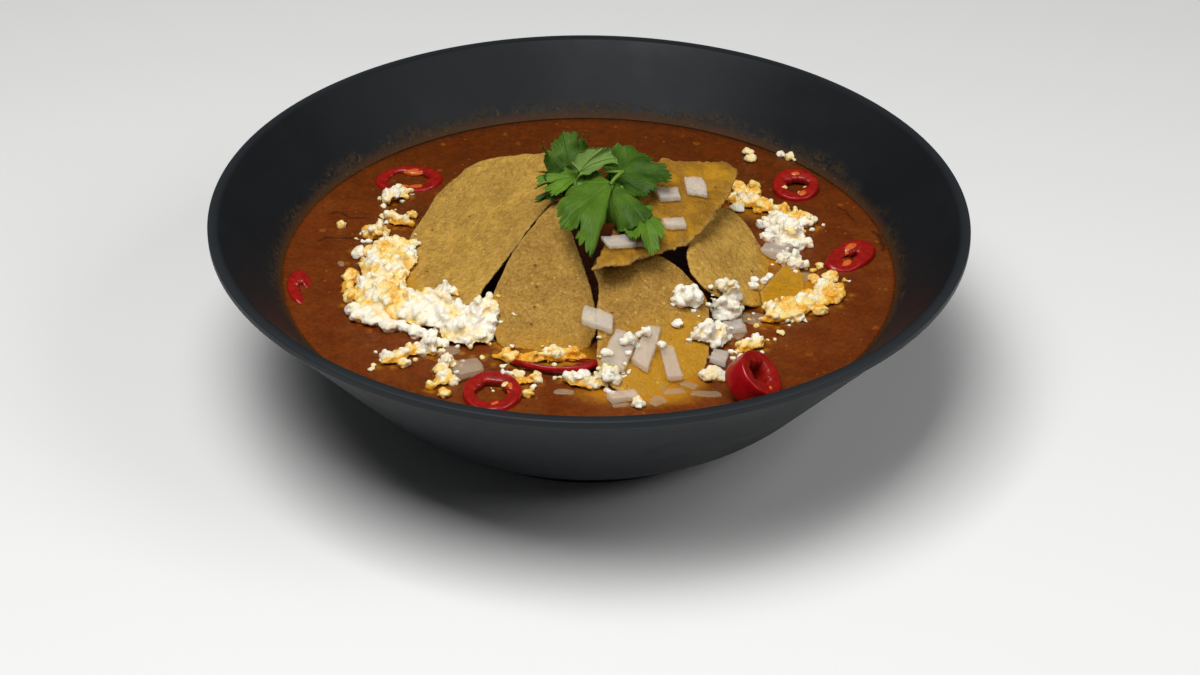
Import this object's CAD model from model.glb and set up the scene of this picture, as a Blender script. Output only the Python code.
"""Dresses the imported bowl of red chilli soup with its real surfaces, under soft studio light.

Shapes are worked out in millimetres in the part's own frame and turned into metres when a mesh is
made. The bowl, the soup and every topping replace their plain solids and keep those solids' forms.
"""

from __future__ import annotations

import functools
import itertools
import logging
import math
from collections.abc import Iterable, Sequence
from dataclasses import dataclass, field
from enum import Enum
from typing import Any

import bpy
import numpy as np
from mathutils import Matrix, Vector
from mathutils.bvhtree import BVHTree
from mathutils.geometry import delaunay_2d_cdt
from mathutils.kdtree import KDTree

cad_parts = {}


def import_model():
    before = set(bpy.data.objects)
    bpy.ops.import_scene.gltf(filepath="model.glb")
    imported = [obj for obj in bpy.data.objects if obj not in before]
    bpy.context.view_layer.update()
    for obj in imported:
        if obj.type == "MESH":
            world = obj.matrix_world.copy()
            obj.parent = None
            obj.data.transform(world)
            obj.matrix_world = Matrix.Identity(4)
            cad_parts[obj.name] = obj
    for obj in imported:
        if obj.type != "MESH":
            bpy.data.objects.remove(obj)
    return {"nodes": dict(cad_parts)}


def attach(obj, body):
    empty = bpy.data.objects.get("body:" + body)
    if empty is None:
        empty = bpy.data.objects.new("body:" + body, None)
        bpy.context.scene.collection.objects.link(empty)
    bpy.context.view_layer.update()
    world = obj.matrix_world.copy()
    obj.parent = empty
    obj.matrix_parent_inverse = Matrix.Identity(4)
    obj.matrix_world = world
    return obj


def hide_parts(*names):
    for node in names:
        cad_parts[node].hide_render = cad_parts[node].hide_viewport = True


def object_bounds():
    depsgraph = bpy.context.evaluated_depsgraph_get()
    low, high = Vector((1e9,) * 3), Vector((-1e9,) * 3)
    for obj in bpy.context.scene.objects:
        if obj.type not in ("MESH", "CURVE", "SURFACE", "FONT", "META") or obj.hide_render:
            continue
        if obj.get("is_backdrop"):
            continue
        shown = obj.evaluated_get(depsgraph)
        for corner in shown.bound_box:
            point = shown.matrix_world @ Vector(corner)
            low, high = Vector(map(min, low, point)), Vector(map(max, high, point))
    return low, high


LOG = logging.getLogger("bowl_of_soup")

MM = 0.001  # metres in a millimetre
FAR_OFF = 999.0  # a place that nothing is near, in millimetres
BODY = "root"
FRAME_SIZE = (1200, 675)  # pixels of the picture that the camera matches
SOUP_LEVEL = 41.5  # height of the soup, in millimetres

Colour = tuple[float, float, float]
Profile = list[tuple[float, float]]  # radius and height of each point
Array = np.ndarray
Item = bpy.types.Object
Material = bpy.types.Material
Socket = bpy.types.NodeSocket


# Numbers and fields


def hashed(cells: Array, seed: int) -> Array:
    """Gives each whole-number cell its own fixed draw.

    Args:
        cells: Whole numbers, one row of three for each cell.
        seed: Which of the many possible sets of draws.

    Returns:
        One number from 0 to 1 for each row.
    """
    state = cells[:, 0] * 374761393 + cells[:, 1] * 668265263 + cells[:, 2] * 1440662683
    state = (state + seed * 974634777) & 0xFFFFFFFF
    state = ((state ^ (state >> 13)) * 1274126177) & 0xFFFFFFFF
    state = ((state ^ (state >> 15)) * 2246822519) & 0xFFFFFFFF
    return ((state ^ (state >> 16)) & 0xFFFFF) / float(0xFFFFF)


def smooth_noise(points: Array, size: float, seed: int) -> Array:
    """Gives a field that wanders smoothly from -1 to 1.

    Args:
        points: Places to read it at, in millimetres.
        size: How far apart its swings are.
        seed: Which field.

    Returns:
        One number for each place.
    """
    scaled = points / size + 1000.0
    cell = np.floor(scaled).astype(np.int64)
    share = scaled - cell
    share = share * share * (3 - 2 * share)
    total = np.zeros(len(points))
    for corner in itertools.product((0, 1), repeat=3):
        weight = np.prod([share[:, k] if corner[k] else 1 - share[:, k] for k in range(3)], axis=0)
        total += weight * (hashed(cell + np.array(corner), seed) * 2 - 1)
    return total


def fractal_noise(points: Array, size: float, seed: int, octaves: int = 3) -> Array:
    """Adds ever finer smooth fields, each half as wide and half as strong as the one before."""
    return sum(
        smooth_noise(points, size / 2**k, seed + 31 * k) / 2**k for k in range(octaves)
    )


def cell_distance(points: Array, size: float, seed: int) -> Array:
    """Gives the distance to the nearest of a set of scattered places, in cells.

    Args:
        points: Places to read it at, in millimetres.
        size: Mean distance between the scattered places.
        seed: Which set.

    Returns:
        One distance for each place, 0 at a scattered place.
    """
    scaled = points / size + 1000.0
    cell = np.floor(scaled).astype(np.int64)
    nearest = np.full(len(points), 9.0)
    for step in itertools.product((-1, 0, 1), repeat=3):
        other = cell + np.array(step)
        centre = other + np.stack([hashed(other, seed + k) for k in range(3)], axis=1)
        nearest = np.minimum(nearest, np.linalg.norm(scaled - centre, axis=1))
    return nearest


def eased(value: Array, low: float, high: float) -> Array:
    """Rises smoothly from 0 at low to 1 at high, which may be below low, for a fall."""
    share = np.clip((value - low) / (high - low), 0.0, 1.0)
    return share * share * (3 - 2 * share)


# Meshes


@dataclass
class Shape:
    """Points and faces of one mesh, in millimetres, with what is painted on the points."""

    points: Array
    faces: Array
    masks: dict[str, Array] = field(default_factory=dict)
    finishes: Array | None = None

    def joined(self, other: Shape) -> Shape:
        """Adds another shape with the same masks.

        Args:
            other: The shape to add.

        Returns:
            Both as one shape.
        """
        masks = {name: np.concatenate([mask, other.masks[name]])
                 for name, mask in self.masks.items()}
        mine = self.finishes if self.finishes is not None else np.zeros(len(self.faces), int)
        theirs = other.finishes if other.finishes is not None else np.zeros(len(other.faces), int)
        return Shape(
            np.concatenate([self.points, other.points]),
            np.concatenate([self.faces, other.faces + len(self.points)]),
            masks,
            np.concatenate([mine, theirs]),
        )

    def piece(self, name: str, materials: Sequence[Material]) -> Item:
        """Makes the Blender object.

        Args:
            name: The piece's name.
            materials: Its materials, in the order that finishes counts them.

        Returns:
            The object, at the origin and smooth shaded.
        """
        mesh = bpy.data.meshes.new(name)
        count, width = self.faces.shape
        mesh.vertices.add(len(self.points))
        mesh.vertices.foreach_set("co", (self.points * MM).astype(np.float32).ravel())
        mesh.loops.add(count * width)
        mesh.loops.foreach_set("vertex_index", self.faces.astype(np.int32).ravel())
        mesh.polygons.add(count)
        mesh.polygons.foreach_set("loop_start", np.arange(0, count * width, width, dtype=np.int32))
        mesh.update(calc_edges=True)
        mesh.validate()
        for label, mask in self.masks.items():
            layer = mesh.attributes.new(label, "FLOAT", "POINT")
            layer.data.foreach_set("value", np.clip(mask, 0, 1).astype(np.float32))
        for material in materials:
            mesh.materials.append(material)
        if self.finishes is not None:
            mesh.polygons.foreach_set("material_index", self.finishes.astype(np.int32))
        mesh.shade_smooth()
        item = bpy.data.objects.new(name, mesh)
        bpy.context.scene.collection.objects.link(item)
        return item


def gathered(shapes: Iterable[Shape]) -> Shape:
    """Joins shapes with the same masks into one."""
    return functools.reduce(Shape.joined, shapes)


def dressed(piece: Item, slot: str, node: str | None = None) -> Item:
    """Names what a piece takes its finish from and what it stands for.

    Args:
        piece: The piece.
        slot: Its material slot in the record.
        node: The solid that it replaces, where it has one.

    Returns:
        The piece.
    """
    if node:
        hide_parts(node)
    return piece


def quads(a: Array, b: Array, c: Array, d: Array) -> Array:
    """Splits faces with the corners a, b, c and d, in turn, into two triangles each."""
    return np.concatenate([np.stack([a, b, c], 1), np.stack([a, c, d], 1)])


def mesh_arrays(mesh: bpy.types.Mesh) -> tuple[Array, Array]:
    """Reads a mesh.

    Args:
        mesh: The mesh.

    Returns:
        Its points in millimetres, and its triangles.
    """
    mesh.calc_loop_triangles()
    places = np.empty(len(mesh.vertices) * 3, np.float32)
    mesh.vertices.foreach_get("co", places)
    corners = np.empty(len(mesh.loop_triangles) * 3, np.int32)
    mesh.loop_triangles.foreach_get("vertices", corners)
    return places.reshape(-1, 3).astype(float) / MM, corners.reshape(-1, 3)


def shape_of(item: Item) -> Shape:
    """Reads an object's mesh, with doubled points merged.

    Args:
        item: A mesh object, such as a node of the frame.

    Returns:
        Its points and triangles in millimetres.
    """
    places, corners = mesh_arrays(item.data)
    points, index = np.unique(np.round(places, 4), axis=0, return_inverse=True)
    faces = index.ravel()[corners]
    whole = np.all(faces != np.roll(faces, -1, axis=1), axis=1)
    return Shape(points, faces[whole])


def evaluated(item: Item) -> Shape:
    """Takes an object's mesh with its modifiers applied, and removes the object.

    Args:
        item: A scratch object with live modifiers.

    Returns:
        The finished mesh as a shape.
    """
    bpy.context.view_layer.update()
    graph = bpy.context.evaluated_depsgraph_get()
    mesh = bpy.data.meshes.new_from_object(item.evaluated_get(graph), depsgraph=graph)
    points, faces = mesh_arrays(mesh)
    bpy.data.objects.remove(item)
    bpy.data.meshes.remove(mesh)
    return Shape(points, faces.astype(int))


def melted(scratch: Item, voxel: float) -> Shape:
    """Remeshes a scratch object as one skin, and removes the object.

    Args:
        scratch: The object.
        voxel: Width of the steps, in millimetres.

    Returns:
        The skin.
    """
    melt = scratch.modifiers.new("melt", "REMESH")
    melt.mode, melt.voxel_size = "VOXEL", voxel * MM
    return evaluated(scratch)


def point_normals(shape: Shape) -> Array:
    """Gives the direction that each point of a shape faces.

    Args:
        shape: A closed shape of triangles.

    Returns:
        One unit vector for each point.
    """
    a, b, c = (shape.points[shape.faces[:, k]] for k in range(3))
    across = np.cross(b - a, c - a)
    normals = np.zeros_like(shape.points)
    for k in range(3):
        np.add.at(normals, shape.faces[:, k], across)
    return normals / np.maximum(np.linalg.norm(normals, axis=1, keepdims=True), 1e-9)


def neighbour_mean(shape: Shape, values: Array) -> Array:
    """Averages values over each point's neighbours.

    Args:
        shape: The shape whose edges say which points are neighbours.
        values: One row for each point.

    Returns:
        The mean of the neighbours' rows, for each point.
    """
    total = np.zeros_like(values)
    count = np.zeros(len(values))
    for k in range(3):
        start, end = shape.faces[:, k], shape.faces[:, (k + 1) % 3]
        np.add.at(total, start, values[end])
        np.add.at(count, start, 1)
    count = np.maximum(count, 1)
    return total / (count[:, None] if values.ndim > 1 else count)


def bead_shape(rounds: int = 1) -> Shape:
    """Makes a ball of radius 1 from an icosahedron.

    Args:
        rounds: How often each triangle is split in four.

    Returns:
        The ball.
    """
    golden = (1 + math.sqrt(5)) / 2
    corners = [(-1, golden, 0), (1, golden, 0), (-1, -golden, 0), (1, -golden, 0)]
    corners += [(z, x, y) for x, y, z in corners] + [(y, z, x) for x, y, z in corners]
    points = np.array(corners, float)
    points /= np.linalg.norm(points, axis=1, keepdims=True)
    side = min(np.linalg.norm(points[0] - other) for other in points[1:])
    near = [[k for k in range(12) if abs(np.linalg.norm(points[i] - points[k]) - side) < 1e-3]
            for i in range(12)]
    faces = []
    for i, j, k in itertools.combinations(range(12), 3):
        if j in near[i] and k in near[i] and k in near[j]:
            out = np.dot(np.cross(points[j] - points[i], points[k] - points[i]), points[i]) > 0
            faces.append((i, j, k) if out else (i, k, j))
    for _ in range(rounds):
        points, faces = split_ball(points, faces)
    return Shape(points, np.array(faces))


def split_ball(points: Array, faces: Sequence[tuple[int, int, int]]) -> tuple[Array, list]:
    """Splits each triangle of a ball in four.

    Args:
        points: The ball's points.
        faces: Its triangles.

    Returns:
        The finer ball's points and triangles.
    """
    places = list(points)
    halves: dict[tuple[int, int], int] = {}

    def half(a: int, b: int) -> int:
        """Gives the point between two others, made on first use.

        Args:
            a: One of them.
            b: The other.

        Returns:
            The new point's number.
        """
        key = (min(a, b), max(a, b))
        if key not in halves:
            middle = places[a] + places[b]
            halves[key] = len(places)
            places.append(middle / np.linalg.norm(middle))
        return halves[key]

    finer = []
    for a, b, c in faces:
        ab, bc, ca = half(a, b), half(b, c), half(c, a)
        finer += [(a, ab, ca), (b, bc, ab), (c, ca, bc), (ab, bc, ca)]
    return np.array(places), finer


def turned_shape(profile: Sequence[tuple[float, float]], turns: int) -> Shape:
    """Turns a profile about the upright axis.

    Args:
        profile: Radius and height of each point. It starts and ends on the axis.
        turns: How many steps go round.

    Returns:
        The closed shape, in triangles.
    """
    angles = np.linspace(0, 2 * math.pi, turns, endpoint=False)
    ring = np.array(profile[1:-1], float)
    points = np.stack([
        ring[:, 0, None] * np.cos(angles),
        ring[:, 0, None] * np.sin(angles),
        np.repeat(ring[:, 1, None], turns, axis=1),
    ], axis=-1).reshape(-1, 3)
    first, last = len(points), len(points) + 1
    points = np.concatenate([points, [[0, 0, profile[0][1]], [0, 0, profile[-1][1]]]])
    step = np.arange(turns)
    after = (step + 1) % turns
    faces = [np.stack([np.full(turns, first), after, step], axis=1)]
    for row in range(len(ring) - 1):
        low, high = row * turns, (row + 1) * turns
        faces.append(quads(low + step, low + after, high + after, high + step))
    top = (len(ring) - 1) * turns
    faces.append(np.stack([top + step, top + after, np.full(turns, last)], axis=1))
    return Shape(points, np.concatenate(faces))


# Node trees


class Tree:
    """A node tree under construction, of a material or of a shader group."""

    def __init__(self, tree: bpy.types.NodeTree) -> None:
        """Starts on a tree that Blender has made."""
        self.tree = tree

    def add(self, kind: str, inputs: dict[str | int, Any] | None = None,
            **settings: Any) -> bpy.types.Node:
        """Adds a node.

        Args:
            kind: Blender's name for the node type.
            inputs: What each socket gets, a value or another node's output.
            **settings: Properties of the node itself.

        Returns:
            The node.
        """
        node = self.tree.nodes.new(kind)
        for name, value in settings.items():
            setattr(node, name, value)
        for key, value in (inputs or {}).items():
            if isinstance(value, Socket):
                self.tree.links.new(value, node.inputs[key])
            else:
                node.inputs[key].default_value = value
        return node

    def times(self, first: Any, second: Any) -> Socket:
        """Multiplies two numbers."""
        return self.math("MULTIPLY", first, second)

    def plus(self, first: Any, second: Any) -> Socket:
        """Adds two numbers."""
        return self.math("ADD", first, second)

    def math(self, operation: str, *values: Any) -> Socket:
        """Works out a number from one, two or three others."""
        inputs = dict(enumerate(values))
        return self.add("ShaderNodeMath", inputs, operation=operation).outputs[0]

    def span(self, value: Any, low: float, high: float, to_low: float = 0.0,
             to_high: float = 1.0) -> Socket:
        """Maps a number from one range to another, smoothly and held at both ends."""
        inputs = {0: value, 1: low, 2: high, 3: to_low, 4: to_high}
        return self.add("ShaderNodeMapRange", inputs, interpolation_type="SMOOTHSTEP").outputs[0]

    def blend(self, share: Any, start: Any, end: Any) -> Socket:
        """Mixes two colours.

        Args:
            share: How much of the second, from 0 to 1.
            start: The first colour or a socket.
            end: The second colour or a socket.

        Returns:
            The mixed colour.
        """
        opaque = [value if isinstance(value, Socket) else (*value, 1.0)
                  for value in (start, end)]
        node = self.add("ShaderNodeMix", {0: share, 6: opaque[0], 7: opaque[1]}, data_type="RGBA")
        return node.outputs[2]

    def mask(self, name: str) -> Socket:
        """Reads a mask that is painted on the mesh."""
        return self.add("ShaderNodeAttribute", attribute_name=name).outputs["Fac"]

    def place(self) -> Socket:
        """Gives the place on the object, in metres."""
        return self.add("ShaderNodeTexCoord").outputs["Object"]

    def noise(self, size: float, detail: float = 3.0, warp: float = 0.0,
              place: Any = None) -> Socket:
        """Adds a noise field round one half, with swings of a size in millimetres."""
        inputs = {"Vector": place or self.place(), "Scale": 1 / (size * MM), "Detail": detail,
                  "Roughness": 0.6, "Distortion": warp}
        return self.add("ShaderNodeTexNoise", inputs).outputs["Fac"]

    def bump(self, height: Any, depth: float, under: Any = None) -> Socket:
        """Turns a height field into a normal.

        Args:
            height: The field, from 0 to 1.
            depth: Its depth in millimetres.
            under: A normal that it is laid on.

        Returns:
            The new normal.
        """
        inputs = {"Height": height, "Distance": depth * MM, "Strength": 1.0}
        if under is not None:
            inputs["Normal"] = under
        return self.add("ShaderNodeBump", inputs).outputs["Normal"]


class SharedGroups:
    """The shader groups that more than one finish uses, each built once."""

    def __init__(self) -> None:
        """Builds the groups."""
        self.mottle = self._mottle()
        self.specks = self._specks()
        self.grain = self._grain()

    @staticmethod
    def _start(name: str, numbers: dict[str, float], outputs: Iterable[str]) -> tuple[Tree, Any, Any]:
        """Makes an empty group with a Vector input.

        Args:
            name: The group's name.
            numbers: Its number inputs and their values when unset.
            outputs: Names of its number outputs.

        Returns:
            The tree, its input node and its output node.
        """
        group = bpy.data.node_groups.new(name, "ShaderNodeTree")
        group.interface.new_socket("Vector", in_out="INPUT", socket_type="NodeSocketVector")
        for label, value in numbers.items():
            socket = group.interface.new_socket(label, in_out="INPUT", socket_type="NodeSocketFloat")
            socket.default_value = value
        for label in outputs:
            group.interface.new_socket(label, in_out="OUTPUT", socket_type="NodeSocketFloat")
        tree = Tree(group)
        return tree, tree.add("NodeGroupInput"), tree.add("NodeGroupOutput")

    def _mottle(self) -> bpy.types.NodeTree:
        """Makes soft patches with a set contrast.

        Returns:
            The group, whose Mask is 0 to 1.
        """
        tree, start, end = self._start("mottle", {"Scale": 200.0, "Contrast": 3.0}, ["Mask"])
        noise = tree.add("ShaderNodeTexNoise", {
            "Vector": start.outputs["Vector"], "Scale": start.outputs["Scale"], "Detail": 4.0,
            "Roughness": 0.62, "Distortion": 0.3})
        centred = tree.math("SUBTRACT", noise.outputs["Fac"], 0.5)
        scaled = tree.times(centred, start.outputs["Contrast"])
        shifted = tree.add("ShaderNodeMath", {0: scaled, 1: 0.5}, operation="ADD", use_clamp=True)
        tree.tree.links.new(shifted.outputs[0], end.inputs["Mask"])
        return tree.tree

    def _specks(self) -> bpy.types.NodeTree:
        """Makes small round specks in some of the cells of a scatter.

        Returns:
            The group, whose Mask is 1 on a speck.
        """
        numbers = {"Scale": 800.0, "Size": 0.3, "Share": 0.2}
        tree, start, end = self._start("specks", numbers, ["Mask"])
        cells = tree.add("ShaderNodeTexVoronoi", {
            "Vector": start.outputs["Vector"], "Scale": start.outputs["Scale"]})
        edge = tree.times(start.outputs["Size"], 0.6)
        near = tree.add("ShaderNodeMapRange", {
            0: cells.outputs["Distance"], 1: start.outputs["Size"], 2: edge, 3: 0.0, 4: 1.0})
        draw = tree.add("ShaderNodeSeparateColor", {0: cells.outputs["Color"]}).outputs[0]
        chosen = tree.math("LESS_THAN", draw, start.outputs["Share"])
        mask = tree.times(near.outputs[0], chosen)
        tree.tree.links.new(mask, end.inputs["Mask"])
        return tree.tree

    def _grain(self) -> bpy.types.NodeTree:
        """Makes fine uneven grain.

        Returns:
            The group, whose Height is 0 to 1.
        """
        tree, start, end = self._start("grain", {"Scale": 900.0}, ["Height"])
        noise = tree.add("ShaderNodeTexNoise", {
            "Vector": start.outputs["Vector"], "Scale": start.outputs["Scale"], "Detail": 3.0,
            "Roughness": 0.7})
        finer = tree.times(start.outputs["Scale"], 1.7)
        cells = tree.add("ShaderNodeTexVoronoi", {"Vector": start.outputs["Vector"], "Scale": finer})
        domes = tree.math("SUBTRACT", 1.0, cells.outputs["Distance"])
        mixed = tree.math("MULTIPLY_ADD", domes, 0.35, noise.outputs["Fac"])
        tree.tree.links.new(mixed, end.inputs["Height"])
        return tree.tree


class Paint(Tree):
    """The tree of one material, which has one Principled shader."""

    def __init__(self, name: str, groups: SharedGroups | None = None) -> None:
        """Makes the material.

        Args:
            name: The material's name.
            groups: The shared shader groups, where it uses them.
        """
        self.material = bpy.data.materials.new(name)
        self.material.use_nodes = True
        self.groups = groups
        super().__init__(self.material.node_tree)

    def shared(self, group: bpy.types.NodeTree, **inputs: float) -> Socket:
        """Places a shared group, sets its inputs by name and gives its one output."""
        named = {name.capitalize(): value for name, value in inputs.items()}
        return self.add("ShaderNodeGroup", {"Vector": self.place(), **named},
                        node_tree=group).outputs[0]

    def mottle(self, scale: float, contrast: float) -> Socket:
        """Gives soft patches, from 0 to 1."""
        return self.shared(self.groups.mottle, scale=scale, contrast=contrast)

    def specks(self, scale: float, size: float, share: float) -> Socket:
        """Gives small round specks, 1 on a speck."""
        return self.shared(self.groups.specks, scale=scale, size=size, share=share)

    def grain(self, scale: float) -> Socket:
        """Gives fine uneven grain, from 0 to 1."""
        return self.shared(self.groups.grain, scale=scale)

    def stray(self, amount: float, size: float, detail: float = 3.0, warp: float = 0.0) -> Socket:
        """Gives a number that wanders to both sides of 0, by up to half the amount."""
        centred = self.math("SUBTRACT", self.noise(size, detail, warp), 0.5)
        return self.times(centred, amount)

    def tint(self, colour: Any, over: Colour, mask: Any, share: float) -> Socket:
        """Lays a share of one colour over another where a mask says."""
        return self.blend(self.times(mask, share), colour, over)

    def done(self, **sockets: Any) -> Material:
        """Sets or links the shader's sockets.

        Args:
            **sockets: Values or outputs, by socket name with underscores for spaces.

        Returns:
            The material.
        """
        shader = self.tree.nodes["Principled BSDF"]
        for name, value in sockets.items():
            socket = shader.inputs[name.replace("_", " ")]
            if isinstance(value, Socket):
                self.tree.links.new(value, socket)
            else:
                socket.default_value = value
        return self.material


# Finishes


@dataclass(frozen=True)
class GlazeFinish:
    """Matt black glaze, with dried soup on the inner wall just above the level."""

    name: str = "matt_black_glaze"
    base: Colour = (0.0100, 0.0112, 0.0130)
    worn: Colour = (0.026, 0.030, 0.033)
    dried: Colour = (0.046, 0.029, 0.011)
    olive: Colour = (0.100, 0.066, 0.024)
    film: Colour = (0.085, 0.029, 0.008)
    roughness: float = 0.46
    film_top: float = 43.4
    dried_top: float = 47.6

    def build(self, groups: SharedGroups) -> Material:
        """Makes the material.

        Args:
            groups: The shared shader groups.

        Returns:
            The material.
        """
        tree = Paint(self.name, groups)
        parts = tree.add("ShaderNodeSeparateXYZ", {0: tree.place()})
        height = tree.times(parts.outputs["Z"], 1 / MM)
        patches = tree.mottle(45.0, 2.0)
        dust = tree.specks(1500.0, 0.16, 0.1)
        inside = tree.mask("inside")
        level = tree.plus(height, tree.stray(7.0, 16.0))
        film = tree.times(tree.span(height, self.film_top + 1.4, SOUP_LEVEL + 0.4), inside)
        band = tree.times(tree.span(level, self.dried_top, self.film_top), inside)
        scraps = tree.span(tree.noise(2.0, 5.0, 0.8), 0.40, 0.60)
        scraps = tree.times(scraps, tree.span(tree.noise(9.0, 2.0), 0.30, 0.55))
        scraps = tree.times(scraps, band)
        bits = tree.specks(620.0, 0.30, 0.22)
        bits = tree.times(bits, tree.span(scraps, 0.1, 0.6))
        colour = tree.blend(patches, self.base, tuple(c * 1.25 for c in self.base))
        colour = tree.tint(colour, self.worn, dust, 0.5)
        colour = tree.tint(colour, self.worn, tree.mask("lip"), 0.75)
        colour = tree.tint(colour, self.film, film, 0.8)
        colour = tree.tint(colour, self.dried, scraps, 0.95)
        colour = tree.tint(colour, self.olive, bits, 0.75)
        fine = tree.grain(1400.0)
        normal = tree.bump(fine, 0.012)
        normal = tree.bump(tree.math("MAXIMUM", scraps, bits), 0.09, normal)
        rough = tree.span(patches, 0.0, 1.0, self.roughness - 0.05, self.roughness + 0.06)
        rough = tree.plus(rough, tree.times(tree.math("MAXIMUM", scraps, film), 0.25))
        return tree.done(Base_Color=colour, Roughness=rough, Normal=normal,
                         Specular_IOR_Level=0.14)


@dataclass(frozen=True)
class BrothFinish:
    """Thick red-brown soup with pulp in it and orange oil on it."""

    name: str = "red_chilli_broth"
    deep: Colour = (0.074, 0.0142, 0.0024)
    body: Colour = (0.134, 0.030, 0.0052)
    pale: Colour = (0.200, 0.064, 0.0095)
    bright: Colour = (0.255, 0.040, 0.0022)
    fleck: Colour = (0.420, 0.125, 0.010)
    oil: Colour = (0.520, 0.225, 0.012)
    dark_fleck: Colour = (0.025, 0.008, 0.003)
    shade: Colour = (0.030, 0.011, 0.004)
    back: Colour = (0.048, 0.0150, 0.0014)

    def build(self, groups: SharedGroups) -> Material:
        """Makes the material.

        Args:
            groups: The shared shader groups.

        Returns:
            The material.
        """
        tree = Paint(self.name, groups)
        swirl = tree.mottle(38.0, 2.6)
        cloud = tree.mottle(130.0, 2.4)
        pulp = tree.mottle(620.0, 2.2)
        orange = tree.specks(210.0, 0.27, 0.16)
        small = tree.specks(520.0, 0.25, 0.10)
        dark = tree.specks(430.0, 0.16, 0.08)
        colour = tree.blend(swirl, self.deep, self.body)
        colour = tree.tint(colour, self.pale, cloud, 0.55)
        colour = tree.tint(colour, self.back, tree.mask("back"), 0.75)
        blush = tree.span(tree.noise(6.0, 4.0, 0.6), 0.44, 0.66)
        colour = tree.tint(colour, self.bright, blush, 0.20)
        murk = tree.span(tree.noise(9.0, 5.0, 0.6), 0.44, 0.64)
        colour = tree.tint(colour, self.deep, murk, 0.42)
        colour = tree.tint(colour, self.bright, pulp, 0.42)
        cloudy = tree.span(tree.noise(1.1, 3.0, 0.5), 0.42, 0.64)
        colour = tree.tint(colour, self.deep, cloudy, 0.40)
        soft = tree.times(orange, tree.span(tree.noise(1.2), 0.35, 0.65))
        colour = tree.tint(colour, self.fleck, soft, 0.55)
        colour = tree.tint(colour, self.fleck, small, 0.45)
        colour = tree.tint(colour, self.dark_fleck, dark, 0.6)
        edge = tree.plus(tree.mask("oil"), tree.stray(0.45, 2.4, 4.0, 0.8))
        film = tree.span(edge, 0.30, 1.0)
        colour = tree.tint(colour, self.oil, film, 0.85)
        thin = tree.plus(tree.mask("thin"), tree.stray(0.7, 2.0, 4.0))
        colour = tree.tint(colour, self.shade, tree.span(thin, 0.25, 0.9), 0.85)
        meal = tree.grain(1100.0)
        normal = tree.bump(meal, 0.05)
        normal = tree.bump(pulp, 0.07, normal)
        rough = tree.span(cloud, 0.0, 1.0, 0.24, 0.36)
        rough = tree.math("SUBTRACT", rough, tree.times(film, 0.10))
        return tree.done(Base_Color=colour, Roughness=rough, Normal=normal, IOR=1.40,
                         Specular_IOR_Level=0.26)


class Chip(Enum):
    """How a corn chip is finished."""

    DRY = "dry"
    OILY = "oily"
    SOAKED = "soaked"


@dataclass(frozen=True)
class ChipFinish:
    """Toasted corn, mottled and speckled, oily or soaked in places."""

    kind: Chip
    tan: Colour = (0.680, 0.395, 0.064)
    brown: Colour = (0.285, 0.132, 0.011)
    scorch: Colour = (0.195, 0.083, 0.008)
    pale: Colour = (0.740, 0.490, 0.150)
    dark: Colour = (0.090, 0.040, 0.008)
    golden: Colour = (0.570, 0.262, 0.008)
    amber: Colour = (0.660, 0.330, 0.008)
    soaked: Colour = (0.500, 0.235, 0.006)

    def build(self, groups: SharedGroups) -> Material:
        """Makes the material.

        Args:
            groups: The shared shader groups.

        Returns:
            The material.
        """
        tree = Paint(f"corn_chip_{self.kind.value}", groups)
        broad = tree.mottle(70.0, 3.0)
        mottle = tree.mottle(330.0, 3.4)
        grit = tree.specks(620.0, 0.34, 0.22)
        char = tree.specks(560.0, 0.24, 0.20)
        spot = tree.specks(190.0, 0.12, 0.30)
        meal = tree.mottle(1150.0, 3.6)
        wet = tree.mask("wet")
        start = self.golden if self.kind is not Chip.DRY else self.tan
        oily = 1.0 if self.kind is Chip.DRY else 0.28
        blot = tree.span(tree.noise(5.5, 4.0, 0.7), 0.42, 0.62)
        patch = tree.span(tree.noise(1.7, 3.0, 0.6), 0.42, 0.60)
        colour = tree.blend(tree.mask("toast"), start, self.brown)
        colour = tree.tint(colour, self.scorch, broad, 0.45)
        colour = tree.tint(colour, self.scorch, blot, 0.38)
        colour = tree.tint(colour, self.scorch, patch, 0.25)
        colour = tree.tint(colour, self.scorch, mottle, 0.28)
        colour = tree.tint(colour, self.pale, meal, 0.30 * oily)
        if self.kind is Chip.OILY:
            glow = tree.span(tree.noise(8.0, 2.0, 0.2), 0.42, 0.70)
            colour = tree.tint(colour, self.amber, glow, 0.45)
        colour = tree.tint(colour, self.soaked, wet, 0.7)
        colour = tree.tint(colour, self.pale, grit, 0.40 * oily)
        colour = tree.tint(colour, self.dark, char, 0.40)
        colour = tree.tint(colour, self.dark, spot, 0.80)
        colour = tree.tint(colour, self.pale, tree.mask("edge"), 0.35)
        fine = tree.grain(800.0)
        normal = tree.bump(mottle, 0.22)
        normal = tree.bump(patch, 0.10, normal)
        normal = tree.bump(fine, 0.24, normal)
        dry_rough = {Chip.DRY: 0.66, Chip.OILY: 0.42, Chip.SOAKED: 0.34}[self.kind]
        rough = tree.span(wet, 0.0, 1.0, dry_rough, 0.28)
        return tree.done(Base_Color=colour, Roughness=rough, Normal=normal,
                         Specular_IOR_Level=0.14)


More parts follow.
